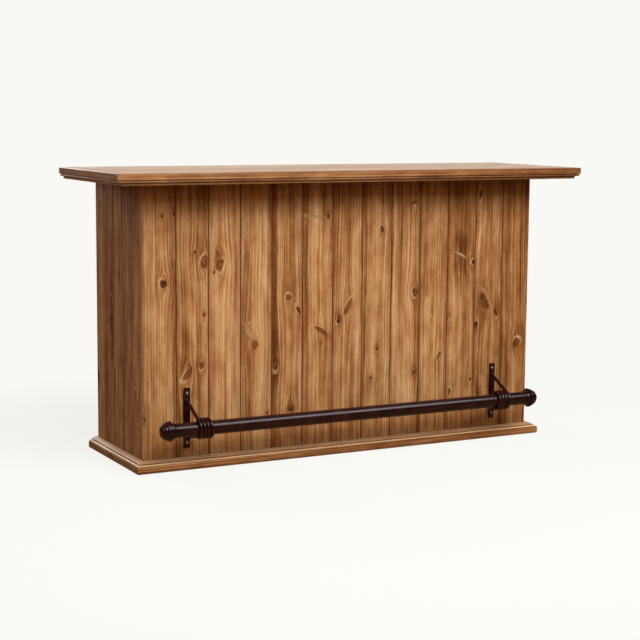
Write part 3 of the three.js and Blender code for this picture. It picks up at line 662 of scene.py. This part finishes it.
# Knots of the front and the left side, by board: mm across it and above the floor, half width and half
# height in mm, lean in degrees, darkness (a pale heart below 0), pale rim and redness
SHOWN_KNOTS = by_board(Knot, {
    "front_boarding": {
        1: [(78, 671, 11, 15, 10, 0.75, 0.9, 0.1), (76, 911, 5, 6, 0, 0.8, 0.5, 0.1),
            (121, 917, 5, 10, 0, 1.0, 0.2), (4, 190, 4, 9, 0, 0.9, 0.2)],
        2: [(74, 780, 5, 6, 0, 0.9, 0.4), (108, 746, 12, 19, 5, 0.35, 0.8, 0.4),
            (108, 552, 5, 6, 0, 0.8, 0.3), (98, 368, 8, 11, 20, 0.7, 0.8, 0.2),
            (44, 342, 11, 24, 42, 0.4, 1.0, 0.9)],
        3: [(45, 730, 14, 18, 8, 0.5, 1.0, 0.1), (34, 777, 5, 7, 0, 0.8, 0.4),
            (22, 705, 5, 6, 0, 0.85, 0.4)],
        4: [(35, 470, 7, 34, -35, -0.5, 0.7, 0.1), (59, 431, 11, 15, 0, 0.3, 0.3, 1.0),
            (108, 174, 6, 5, 0, 0.9, 0.4, 0.1)],
        5: [(68, 601, 10, 12, 0, 0.5, 1.0, 0.2), (110, 550, 6, 16, -25, 0.75, 0.5, 0.1),
            (14, 359, 9, 26, 4, 0.7, 0.7, 0.2), (81, 177, 10, 6, 0, 0.85, 0.4)],
        6: [(56, 894, 5, 44, -82, -0.6, 0.6, 0.1), (106, 895, 6, 7, 0, 0.95, 0.6),
            (78, 468, 7, 32, -58, 0.5, 0.3, 1.0)],
        7: [(64, 552, 9, 30, 32, 0.4, 0.6, 0.3), (24, 500, 6, 10, 0, 0.85, 1.0, 0.2)],
        8: [(83, 840, 8, 13, 0, 0.75, 0.6, 0.1), (68, 383, 4.5, 7, 0, 0.9, 0.3, 0.1),
            (43, 273, 4.5, 7, 15, 0.9, 0.3)],
        9: [(105, 593, 12, 13, 0, 0.58, 0.9, 0.3), (106, 282, 7, 8, 0, 0.6, 0.4, 1.0),
            (70, 282, 4, 24, 86, -0.8, 0.2), (100, 938, 4, 20, 74, 0.6, 0.5)],
        10: [(38, 515, 5, 38, -38, -0.75, 0.3, 0.1), (92, 341, 5, 18, 32, 0.3, 0.4, 0.1)],
        11: [(58, 731, 5, 32, -62, -0.6, 0.0), (120, 700, 8, 12, 0, 0.95, 1.0),
             (114, 235, 5, 8, 0, 0.85, 0.9, 0.1), (18, 195, 6, 14, 0, 0.4, 0.8, 0.1),
             (12, 478, 5, 18, 20, -0.5, 0.4)],
        12: [(47, 543, 14, 37, -32, 0.66, 0.4, 0.5), (101, 492, 6, 15, -20, 0.85, 0.6, 0.1),
             (9, 452, 8, 12, 0, 0.95, 0.4), (26, 180, 5, 6, 0, 0.8, 0.4),
             (20, 962, 6, 18, 10, 0.6, 0.6, 0.1)],
        13: [(77, 370, 11, 19, 24, 0.62, 1.0, 0.9)],
    },
    "left_boarding": {
        1: [(11, 278, 9, 20, 0, 0.9, 0.5, 0.1), (50, 934, 6, 15, 5, 0.3, 0.8, 0.1)],
        2: [(69, 576, 9, 22, 5, 0.6, 0.6, 0.1), (60, 512, 5, 9, 0, 0.85, 0.3, 0.1)],
        3: [(60, 690, 5, 7, 0, 0.8, 0.5, 0.1)],
        4: [(44, 400, 7, 30, 0, -0.3, 0.6)],
        5: [(32, 272, 9, 13, 0, 0.3, 0.9, 0.2), (20, 600, 9, 20, -20, -0.4, 0.3)],
    },
})

# Darker and paler streaks of the front and the left side, by board: mm across it, half width, from and to
# above the floor, lightness and red
SHOWN_STREAKS = by_board(Streak, {
    "front_boarding": {
        1: [(112, 14, 300, 1000, -0.08, 0.1), (25, 10, 250, 1000, 0.06), (60, 24, 530, 600, 0.14),
            (60, 50, 160, 580, 0.09)],
        2: [(100, 18, 790, 1046, -0.12), (74, 1.8, 480, 770, 0.32),
            (118, 1.8, 520, 735, 0.3), (96, 16, 380, 760, 0.05, 0.3)],
        3: [(14, 12, 250, 560, -0.08, 0.4), (75, 25, 200, 800, 0.06), (40, 34, 160, 400, -0.06, 0.2),
            (63, 55, 160, 620, 0.1)],
        4: [(25, 22, 560, 1046, -0.1, 0.2), (76, 20, 480, 1000, 0.07), (119, 8, 380, 1046, -0.16, 0.2),
            (35, 28, 130, 480, -0.1, 0.7), (86, 8, 280, 560, 0.12), (50, 22, 490, 530, 0.12),
            (70, 50, 160, 500, 0.07)],
        5: [(11, 10, 380, 1046, -0.32, 0.2), (11, 10, 40, 380, -0.16, 0.2), (38, 18, 585, 625, 0.2),
            (70, 50, 160, 600, 0.1)],
        6: [(100, 15, 180, 440, -0.02, 0.8), (85, 7, 450, 900, 0.1), (70, 30, 440, 455, 0.1),
            (63, 55, 160, 600, 0.05)],
        7: [(101, 15, 330, 900, 0.14), (30, 22, 600, 1000, -0.06),
            (121, 4, 700, 1046, -0.25, 0.2), (100, 14, 500, 560, 0.14)],
        8: [(10, 9, 300, 1000, -0.15, 0.3), (45, 8, 280, 1000, 0.1), (96, 10, 330, 900, 0.08)],
        9: [(12, 9, 180, 1000, 0.12), (112, 12, 240, 560, -0.08, 0.9), (60, 40, 150, 260, 0.06),
            (63, 55, 160, 600, 0.16)],
        10: [(95, 22, 300, 1000, 0.05), (63, 55, 160, 600, 0.11)],
        11: [(60, 50, 640, 1046, -0.06, 0.1), (63, 55, 160, 600, 0.08), (38, 4, 768, 806, -0.34, 0.2),
             (50, 4, 764, 818, -0.4, 0.2), (61, 4, 756, 800, -0.36, 0.2), (73, 5, 748, 806, -0.46, 0.2),
             (86, 5, 742, 786, -0.42, 0.2), (32, 5, 690, 726, -0.3, 0.1), (46, 5, 684, 716, -0.36, 0.1),
             (62, 5, 676, 708, -0.3, 0.1), (78, 6, 668, 700, -0.36, 0.1)],
        12: [(60, 20, 600, 1000, 0.1), (8, 7, 200, 900, -0.14, 0.2), (80, 20, 470, 520, 0.12),
             (63, 70, 0, 1046, 0.0, -0.5)],
        13: [(100, 20, 300, 1000, -0.05, 0.1), (63, 70, 0, 1046, 0.0, -0.5)],
    },
    "left_boarding": {
        1: [(8, 8, 60, 520, -0.16, 0.1), (60, 10, 300, 900, 0.12)],
        2: [(20, 7, 300, 1000, 0.16), (75, 9, 350, 820, -0.18, 0.1), (48, 4, 60, 400, 0.14)],
        3: [(25, 7, 360, 680, 0.2), (72, 10, 150, 900, -0.16, 0.1), (48, 5, 700, 1046, -0.14, 0.1)],
        4: [(60, 7, 320, 540, 0.24), (18, 9, 250, 620, -0.2, 0.1), (80, 5, 60, 1046, 0.1)],
        5: [(52, 24, 260, 680, 0.18), (46, 40, 780, 1046, -0.1, 0.1), (84, 5, 80, 700, 0.12)],
    },
})


def add_walls():
    """The boarding of the front, the sides and the top, with its grain board by board."""
    tree = boarding_tree()
    for row, (name, wall) in enumerate(WALLS.items()):
        luck = np.random.default_rng(WALL_SEED + row)
        pitch = wall.run / wall.count
        section = board_section(pitch, wall.thickness, wall.chamfer, wall.joint)
        stations = np.linspace(0, wall.length, round(wall.length / GRAIN_STEP) + 1)
        pattern = placed(name + "_board", swept(name + "_board", section, stations))
        axes = np.column_stack((wall.across, wall.inwards, wall.along))
        piece = grown(name, tree, {
            "Board": pattern, "Count": wall.count, "Pitch": pitch * MM,
            "Start": [c * MM for c in wall.start], "Turn": list(Matrix(axes.tolist()).to_euler()),
            "Finish": wall.finish})
        bpy.data.objects.remove(pattern)
        mesh = piece.data
        board, stain_and_painted_light = stored(mesh, "board", np.int32), stored(mesh, "stain_and_painted_light")
        on_wall, depth, along = ((vertices_mm(mesh) - wall.start) @ axes).T
        across = on_wall - board * pitch
        knots = SHOWN_KNOTS.get(name) or scattered_knots(wall.count, pitch, wall.length, luck)
        stain_and_painted_light[np.minimum(on_wall, wall.run - on_wall) < CORNER_REACH] *= CORNER_WEAR
        # Painted shade: the walls darken towards the top, where the overhang shades them
        if wall.length == BODY_TOP:
            stain_and_painted_light += UNDER_TOP_SHADE * np.clip((along - UNDER_TOP_SHADE_FROM) / UNDER_TOP_SHADE_OVER, 0, 1)
        streaks = SHOWN_STREAKS.get(name, ())
        # Painted warm tint of shade on the side boarding
        shade_red = SIDE_SHADE_RED if "side" in wall.nodes else 0.0
        lay_grain(mesh, across, along, depth, board, stain_and_painted_light, WALL_TONES[name], luck, knots, streaks, shade_red)
        finish_piece(piece, "stained_pine", *(wall.nodes.format(i + 1) for i in range(wall.count)))


# Mouldings: the top's edge and the plinth, mitred at the front corners

CURVE_STEPS = 10
# The nose's stain, and the painted highlight along the nose: its strength, height and reach
NOSE_STAIN, NOSE_HIGHLIGHT, NOSE_HEIGHT, NOSE_REACH = 0.12, 1.15, 30.2, 1.9  # the last two in mm
MOULDING_DEPTH = 0.4  # mm into the wood that the grain takes for each mm of height


def curve(start, control, end, steps=CURVE_STEPS):
    """Points of a quadratic curve after its start."""
    share = np.linspace(0, 1, steps + 1)[1:, None]
    start, control, end = map(np.array, (start, control, end))
    return ((1 - share) ** 2 * start + 2 * share * (1 - share) * control + share ** 2 * end).tolist()


def rounded(stain_and_painted_light, *points):
    """A curve's points with their stain, which also carries painted shade and painted highlights."""
    return [(x, y, stain_and_painted_light) for x, y in curve(*points)]


def top_edge_section():
    """Flat band, quirk, bead, shadow groove and lip: distance in from the face, height above the underside
    and stain, with painted shade in the quirk and in the groove."""
    points = [(60, 22.2, 0), (60, 42.5, -0.14), (8, 42.5, -0.14), (2.5, 42.5, 0)]
    points += rounded(0.5, (2.5, 42.5), (0, 42.5), (0, 40))
    points += [(0, 37, 0), (0, 22, 0)]
    points += rounded(0.3, (0, 20.5), (0, 18.5), (2.5, 18.5))
    # Stain pooled in the quirk, with painted shade
    points += [(7, 18.5, 0.9), (7, 17.3, 0.9)]
    points += rounded(0.12, (7, 17.3), (3.5, 17.3), (3.5, 13.8))
    points += rounded(0.2, (3.5, 13.8), (3.5, 10.5), (7.5, 10.5))
    # Stain pooled in the groove under the bead, with painted shade
    points += [(14, 10, 0.9), (16.5, 8.5, 0.8), (16.5, 7, -0.35), (17.5, 2, -0.4)]
    points += rounded(0.1, (17.5, 2), (17.5, 0), (19.5, 0))
    return points + [(80, 0, 0.3), (80, 22.2, 0.3)]


def plinth_section():
    """Round-nosed band, level step, upright step and a full slope to the body: distance in from the face,
    height, and stain with painted light. The slope is rubbed pale, the step holds stain and painted shade,
    and a painted highlight runs along the nose."""
    points = [(37.2, 42, 0.5), (35.5, 42, 0.4)]
    points += rounded(-0.3, (35.5, 42), (22, 40.5), (13, 34.5))
    # Stain and painted shade in the step under the slope
    points += [(12.5, 34, 0.45), (12.5, 31, 0.55), (11, 31, -0.1)]
    # A painted highlight along the nose takes the stain off in a narrow line
    for x, y in curve((11, 31), (0, 31), (0, 16)):
        points.append((x, y, NOSE_STAIN - NOSE_HIGHLIGHT * math.exp(-((y - NOSE_HEIGHT) / NOSE_REACH) ** 2)))
    points += [(0, 9, 0.15)] + rounded(0.35, (0, 9), (0, 0), (5, 0))
    return points + [(37.2, 0, 0.3)]


def moulding(name, section, length, mitred, start, inwards, along, tones, finish, luck):
    """A moulding whose mitred ends slope at 45 degrees; its tone runs from one end's to the other's."""
    mesh = swept(name, section, [0, length])
    place = vertices_mm(mesh)
    inset = place[:, 0] + JOINT_GAP
    begins = place[:, 2] < length / 2
    mitred_start, mitred_end = mitred
    place[begins & mitred_start, 2] = inset[begins & mitred_start]
    place[~begins & mitred_end, 2] = length - inset[~begins & mitred_end]
    axes = np.column_stack((inwards, Z_AXIS, along))
    moved = place @ axes.T + start
    mesh.vertices.foreach_set("co", (moved * MM).ravel())
    near, far = tones
    rest = Streak(1, 0, 2 * length, length / 2, 2 * length, far - near)
    inward, height, onward = place.T
    lay_grain(mesh, inward + height, onward, MOULDING_DEPTH * height, 0, stored(mesh, "stain_and_painted_light"), [near],
              luck, streaks=[rest])
    finish_piece(placed(name + "_run", mesh, finish), "stained_pine", name)


def add_mouldings():
    """The front run of each moulding, and its returns along the sides."""
    luck = np.random.default_rng(MOULDING_SEED)
    runs = {
        # name: section, half length, front face and level in mm, tones of the front's ends and the returns
        "top_edge": (top_edge_section(), 960.0, -309.0, 1024.5, (-0.03, -0.29), -0.13, varnished_pine),
        "plinth": (plinth_section(), 857.5, -206.5, 0.0, (-0.08, -0.08), -0.08, stained_pine),
    }
    for name, (section, half, front, level, tones, tone, finish) in runs.items():
        depth = BACK_FACE - front
        sides = {
            "front": (2 * half, (True, True), (-half, front, level), Y_AXIS, X_AXIS, tones),
            "left": (depth, (False, True), (-half, BACK_FACE, level), X_AXIS, -Y_AXIS, (tone, tone)),
            "right": (depth, (True, False), (half, front, level), -X_AXIS, Y_AXIS, (tone, tone)),
        }
        for side, run in sides.items():
            moulding(f"{name}_{side}", section, *run, finish, luck)


# Timbers and plates that keep the solids' shape, with their arrises eased

INSIDE_TIMBERS = [
    *(f"front_{level}_rail" for level in ("top", "shelf", "bottom")),
    *(f"{side}_{level}_cleat" for side in ("left", "right") for level in ("top", "shelf", "bottom")),
    "back_left_stile", "back_right_stile", "back_top_rail", "back_bottom_rail",
    "bottom_deck", "centre_divider", "left_shelf", "right_shelf",
]
TIMBER_EASE, PLATE_EASE, TUBE_EASE = 0.6, 0.5, 0.5
TIMBER_TONES = (-0.08, 0.08)
MERGE_WITHIN = 0.01  # mm
FLAT_WITHIN, SHARP_FROM = math.radians(1), math.radians(30)
EASED_CREASE, TURNED_CREASE, SCREW_CREASE = 25, 40, 35


def eased_copy(node, ease, name):
    """A merged copy of a node with its sharp edges rounded."""
    shape = bmesh.new()
    shape.from_mesh(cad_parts[node].data)
    bmesh.ops.remove_doubles(shape, verts=shape.verts, dist=MERGE_WITHIN * MM)
    bmesh.ops.dissolve_limit(
        shape, angle_limit=FLAT_WITHIN, verts=shape.verts, edges=shape.edges, delimit={"NORMAL"})
    sharp = [e for e in shape.edges if len(e.link_faces) == 2 and e.calc_face_angle() > SHARP_FROM]
    bmesh.ops.bevel(
        shape, geom=sharp, offset=ease * MM, segments=2, profile=0.6, affect="EDGES", clamp_overlap=True)
    return meshed(shape, name, EASED_CREASE)


def add_inside_timbers():
    """Each timber behind the boarding is one board with its grain along its longest side."""
    luck = np.random.default_rng(TIMBER_SEED)
    for number, node in enumerate(INSIDE_TIMBERS):
        mesh = eased_copy(node, TIMBER_EASE, node + "_timber")
        place = vertices_mm(mesh)
        place -= place.min(0)
        depth, across, along = place.T[np.argsort(place.max(0))]
        lay_grain(mesh, across, along, depth, number, 0.0, [luck.uniform(*TIMBER_TONES)], luck)
        finish_piece(placed(node + "_timber", mesh, inside_pine), "inside_pine", node)


def add_plates():
    """The brackets' plates on the front."""
    for side in ("left", "right"):
        node = f"{side}_bracket_plate"
        piece = placed(node + "_iron", eased_copy(node, PLATE_EASE, node + "_iron"), iron_paint)
        finish_piece(piece, "bronze_paint", node)


# Foot rail: tube and turned caps

RAIL_AXIS = np.array((0.0, -269.0, 162.0))
RAIL_RADIUS, RAIL_WALL = 25.4, 2.0
RAIL_HALF = 741.0
PLUG_RADIUS, PLUG_DEPTH = 23.1, 20  # of the cap's end inside the tube
NECK_RADIUS, COLLAR_RADIUS = 26.0, 28.5
COLLAR_START, COLLAR_END, RIM_START = 0.3, 8.3, 18.3  # mm from the tube's end
DOME_RADII, DOME_STEPS = (36.5, 33.5, 28.5, 21.0, 0), (7, 11, 11, 9)
TURNED_SEGMENTS = 72


def revolved(name, profile, closed=False):
    """A profile of (radius, place along the axis) turned round z; points on the axis are poles."""
    shape = bmesh.new()
    angles = once_round(TURNED_SEGMENTS)
    rings = []
    for radius, along in profile:
        around = angles if radius else angles[:1]
        rings.append([
            shape.verts.new((radius * MM * math.cos(a), radius * MM * math.sin(a), along * MM))
            for a in around])
    pairs = list(zip(rings, rings[1:])) + ([(rings[-1], rings[0])] if closed else [])
    for first, second in pairs:
        for i in range(TURNED_SEGMENTS):
            corners = [first[i % len(first)], first[(i + 1) % len(first)],
                       second[(i + 1) % len(second)], second[i % len(second)]]
            shape.faces.new(list(dict.fromkeys(corners)))
    return meshed(shape, name, TURNED_CREASE)


def cap_profile():
    """Collar, hollow neck that flares to the rim, and a stepped dome, from the tube's end outwards."""
    points = [(0, -PLUG_DEPTH), (PLUG_RADIUS, -PLUG_DEPTH), (PLUG_RADIUS, COLLAR_START)]
    points.append((NECK_RADIUS, COLLAR_START))
    points += curve(
        (NECK_RADIUS, COLLAR_START), (2 * COLLAR_RADIUS - NECK_RADIUS, (COLLAR_START + COLLAR_END) / 2),
        (NECK_RADIUS, COLLAR_END))
    points += curve((NECK_RADIUS, COLLAR_END), (NECK_RADIUS, RIM_START), (DOME_RADII[0], RIM_START))
    end = RIM_START
    for radius, following, length in zip(DOME_RADII, DOME_RADII[1:], DOME_STEPS):
        points += curve((radius, end), (radius, end + length), (following, end + length))
        end += length
    points[-1] = (0, end)
    return points


def along_rail(mesh, hand, at):
    """Lays a turned piece along the rail, its z pointing outwards."""
    turn = Matrix.Rotation(hand * math.pi / 2, 4, "Y")
    shift = Vector(RAIL_AXIS * MM) + Vector((hand * at * MM, 0, 0))
    mesh.transform(Matrix.Translation(shift) @ turn)
    return mesh


def add_foot_rail():
    """The tube, and a turned cap on each of its ends."""
    inner, eased, end = RAIL_RADIUS - RAIL_WALL, RAIL_RADIUS - TUBE_EASE, RAIL_HALF - TUBE_EASE
    ring = [(eased, -RAIL_HALF), (RAIL_RADIUS, -end), (RAIL_RADIUS, end), (eased, RAIL_HALF),
            (inner, RAIL_HALF), (inner, -RAIL_HALF)]
    tube = placed("foot_rail", along_rail(revolved("foot_rail", ring, closed=True), 1, 0), iron_paint)
    finish_piece(tube, "bronze_paint", "foot_rail_tube")
    for side, hand in (("left", -1), ("right", 1)):
        cap = along_rail(revolved(f"{side}_rail_cap", cap_profile()), hand, RAIL_HALF)
        finish_piece(placed(f"{side}_rail_cap", cap, iron_paint), "bronze_paint", f"{side}_rail_finial")


# Brackets: each rod leaves the plate, winds round the rail and runs back to the plate

BRACKET_REACH = 655.0
ROD_DIAMETER, ROD_SIDES = 12.7, 28
COIL_PITCH, COIL_TURNS, COIL_CLEARANCE = 13.8, 3, 0.5
COIL_RADIUS = RAIL_RADIUS + COIL_CLEARANCE + ROD_DIAMETER / 2
PLATE_FACE = 94.7  # behind the rail's axis
PLATE_WIDTH, PLATE_MARGIN = 25.4, 0.8
STRUT_RISE, TAIL_DROP = 85.0, 46.0
TAIL_SLOPE, TAIL_STRAIGHT = math.radians(10), 56.0
TAIL_OFFSET = PLATE_WIDTH / 2 - ROD_DIAMETER / 2 - PLATE_MARGIN
ROD_SINK = 2.0  # both ends run into the plate
STRUT_POINTS, TURN_POINTS, TAIL_STEPS = 14, 40, 24
WELD_BEAD, WELD_STANDOFF, WELD_SEED = 1.7, 0.4, 5
WELD_SMALLEST, WELD_LARGEST = (0.85, 0.8, 0.85), (1.2, 1.0, 1.2)
STRUT_BEADS, TAIL_BEADS = 26, 22


def rod_path(hand):
    """The rod's centre line about the rail's axis on the plate's centre line, and the place and way of its
    two feet; hand is 1 where inboard is +X."""
    reach = math.hypot(PLATE_FACE, STRUT_RISE)
    start = math.atan2(STRUT_RISE, PLATE_FACE) + math.acos(COIL_RADIUS / reach)
    end = TURN * COIL_TURNS + 1.5 * math.pi - TAIL_SLOPE
    angle = np.linspace(start, end, TURN_POINTS * (COIL_TURNS + 1))
    inboard = hand * COIL_PITCH * (angle - start) / TURN
    coil = np.column_stack((inboard, COIL_RADIUS * np.cos(angle), COIL_RADIUS * np.sin(angle)))
    strut_top = np.array((0, PLATE_FACE, STRUT_RISE))
    length = np.linalg.norm(coil[0] - strut_top)
    way = (coil[0] - strut_top) / length
    strut = strut_top + np.linspace(-ROD_SINK, length, STRUT_POINTS)[:, None] * way
    heading = np.array((
        hand * COIL_PITCH / TURN, -COIL_RADIUS * math.sin(end), COIL_RADIUS * math.cos(end)))
    bend = coil[-1] + TAIL_STRAIGHT * heading / np.linalg.norm(heading)
    foot = np.array((hand * TAIL_OFFSET, PLATE_FACE, -TAIL_DROP))
    last = (foot - bend) / np.linalg.norm(foot - bend)
    tail = curve(coil[-1], bend, foot + ROD_SINK * last, TAIL_STEPS)
    return np.vstack((strut[:-1], coil, tail)), (strut_top, way), (foot, last)


def rod_tree():
    """A round rod along the path's edges."""
    tree, given = shape_tree("wound_rod", {"Diameter": "Float", "Sides": "Int"})
    path = add(tree, "MeshToCurve", {0: given["Geometry"]})
    half = add(tree, "Math", {0: given["Diameter"], 1: 0.5}, TIMES)
    outline = add(tree, "CurvePrimitiveCircle", {"Resolution": given["Sides"], "Radius": half})
    rod = add(tree, "CurveToMesh", {"Curve": path, "Profile Curve": outline, "Fill Caps": True})
    smooth = add(tree, "SetShadeSmooth", {"Geometry": rod})
    return end_tree(tree, given, smooth)


def weld_tree():
    """Overlapping beads of weld metal on the given points."""
    tree, given = shape_tree("weld_beads", {"Bead": "Float", "Seed": "Int"})
    bead = add(tree, "MeshIcoSphere", {"Radius": given["Bead"], "Subdivisions": 3})
    smooth = add(tree, "SetShadeSmooth", {"Geometry": bead})
    size = add(tree, "RandomValue", {0: WELD_SMALLEST, 1: WELD_LARGEST, "Seed": given["Seed"]}, VECTORS)
    beads = add(tree, "InstanceOnPoints", {"Points": given["Geometry"], "Instance": smooth, "Scale": size})
    return end_tree(tree, given, beads)


def weld_ring(middle, way, count):
    """Points round a rod's foot on the plate, on the ellipse where it meets the face."""
    stretch = 1 / abs(way[1])
    long_way = np.array(Vector((way[0], way[2])).normalized())
    short_way = np.array((-long_way[1], long_way[0]))
    radius = ROD_DIAMETER / 2 + WELD_STANDOFF
    angles = once_round(count)[:, None]
    flat = radius * (stretch * np.cos(angles) * long_way + np.sin(angles) * short_way)
    return np.column_stack((middle[0] + flat[:, 0], np.full(count, middle[1]), middle[2] + flat[:, 1]))


def add_rods():
    """The two wound rods, as mirror images, and the weld beads at their feet."""
    rods, welds = rod_tree(), weld_tree()
    for side, hand in (("left", 1), ("right", -1)):
        middle = RAIL_AXIS + (-hand * BRACKET_REACH, 0, 0)
        path, strut, tail = rod_path(hand)
        edges = [(i, i + 1) for i in range(len(path) - 1)]
        line = new_mesh(f"{side}_rod_path", ((path + middle) * MM).tolist(), edges)
        rod = grown(f"{side}_wound_rod", rods, {
            "Diameter": ROD_DIAMETER * MM, "Sides": ROD_SIDES, "Finish": iron_paint}, line)
        finish_piece(rod, "bronze_paint", f"{side}_bracket_rod")
        ring = np.vstack((weld_ring(*strut, STRUT_BEADS), weld_ring(*tail, TAIL_BEADS)))
        points = new_mesh(f"{side}_weld_points", ((ring + middle) * MM).tolist())
        weld = grown(f"{side}_rod_welds", welds, {
            "Bead": WELD_BEAD * MM, "Seed": WELD_SEED, "Finish": iron_paint}, points)
        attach(weld, "root")


# Screws: pan heads with a cross recess

SCREW_NODES = [f"{side}_{end}_screw" for side in ("left", "right") for end in ("upper", "lower")]
SCREW_RADIUS, SCREW_HEIGHT, SCREW_RIM = 6.0, 3.4, 1.0  # of the head
RECESS_WIDTH, RECESS_LENGTH, RECESS_DEPTH = 1.5, 6.6, 2.0
SCREW_SEED = 3


def screw_tree():
    """A head with a crossed recess, set on each point and facing the customer."""
    tree, given = shape_tree("cross_screws", {
        "Head": "Object", "Recess Width": "Float", "Recess Length": "Float", "Recess Depth": "Float",
        "Head Height": "Float", "Seed": "Int"})
    head = add(tree, "ObjectInfo", {"Object": given["Head"]}).outputs["Geometry"]
    deep = add(tree, "Math", {0: given["Recess Depth"], 1: 2.0}, TIMES)
    top = add(tree, "CombineXYZ", {"Z": given["Head Height"]})
    for long_way, short_way in (("X", "Y"), ("Y", "X")):
        size = add(tree, "CombineXYZ", {
            long_way: given["Recess Length"], short_way: given["Recess Width"], "Z": deep})
        bar = add(tree, "MeshCube", {"Size": size})
        raised = add(tree, "Transform", {"Geometry": bar, "Translation": top})
        head = add(tree, "MeshBoolean", {0: head, 1: raised}, {"operation": "DIFFERENCE"})
    spin = add(tree, "RandomValue", {0: (0, 0, 0), 1: (0, 0, math.pi), "Seed": given["Seed"]}, VECTORS)
    spun = add(tree, "EulerToRotation", {0: spin})
    facing = add(tree, "EulerToRotation", {0: (math.pi / 2, 0, 0)})
    turned = add(tree, "RotateRotation", {0: facing, 1: spun}, {"rotation_space": "LOCAL"})
    heads = add(tree, "InstanceOnPoints", {
        "Points": given["Geometry"], "Instance": head, "Rotation": turned})
    return end_tree(tree, given, heads)


def add_screws():
    """A turned head on each screw's seat in the plates."""
    profile = [(0, 0), (SCREW_RADIUS, 0), (SCREW_RADIUS, SCREW_RIM)]
    profile += curve((SCREW_RADIUS, SCREW_RIM), (SCREW_RADIUS, SCREW_HEIGHT), (0, SCREW_HEIGHT))
    profile[-1] = (0, SCREW_HEIGHT)
    pattern = placed("screw_head", revolved("screw_head", profile))
    seats = []
    for node in SCREW_NODES:
        low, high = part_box(node)
        seats.append(((low.x + high.x) / 2, low.y + SCREW_HEIGHT * MM, (low.z + high.z) / 2))
    screws = grown("bracket_screws", screw_tree(), {
        "Head": pattern, "Recess Width": RECESS_WIDTH * MM, "Recess Length": RECESS_LENGTH * MM,
        "Recess Depth": RECESS_DEPTH * MM, "Head Height": SCREW_HEIGHT * MM, "Seed": SCREW_SEED,
        "Finish": zinc}, new_mesh("screw_seats", seats))
    bpy.data.objects.remove(pattern)
    shade(screws.data, SCREW_CREASE)
    finish_piece(screws, "zinc_steel", *SCREW_NODES)


add_camera()
add_world()
add_lamps()
add_floor()
add_walls()
add_mouldings()
add_inside_timbers()
add_plates()
add_foot_rail()
add_rods()
add_screws()
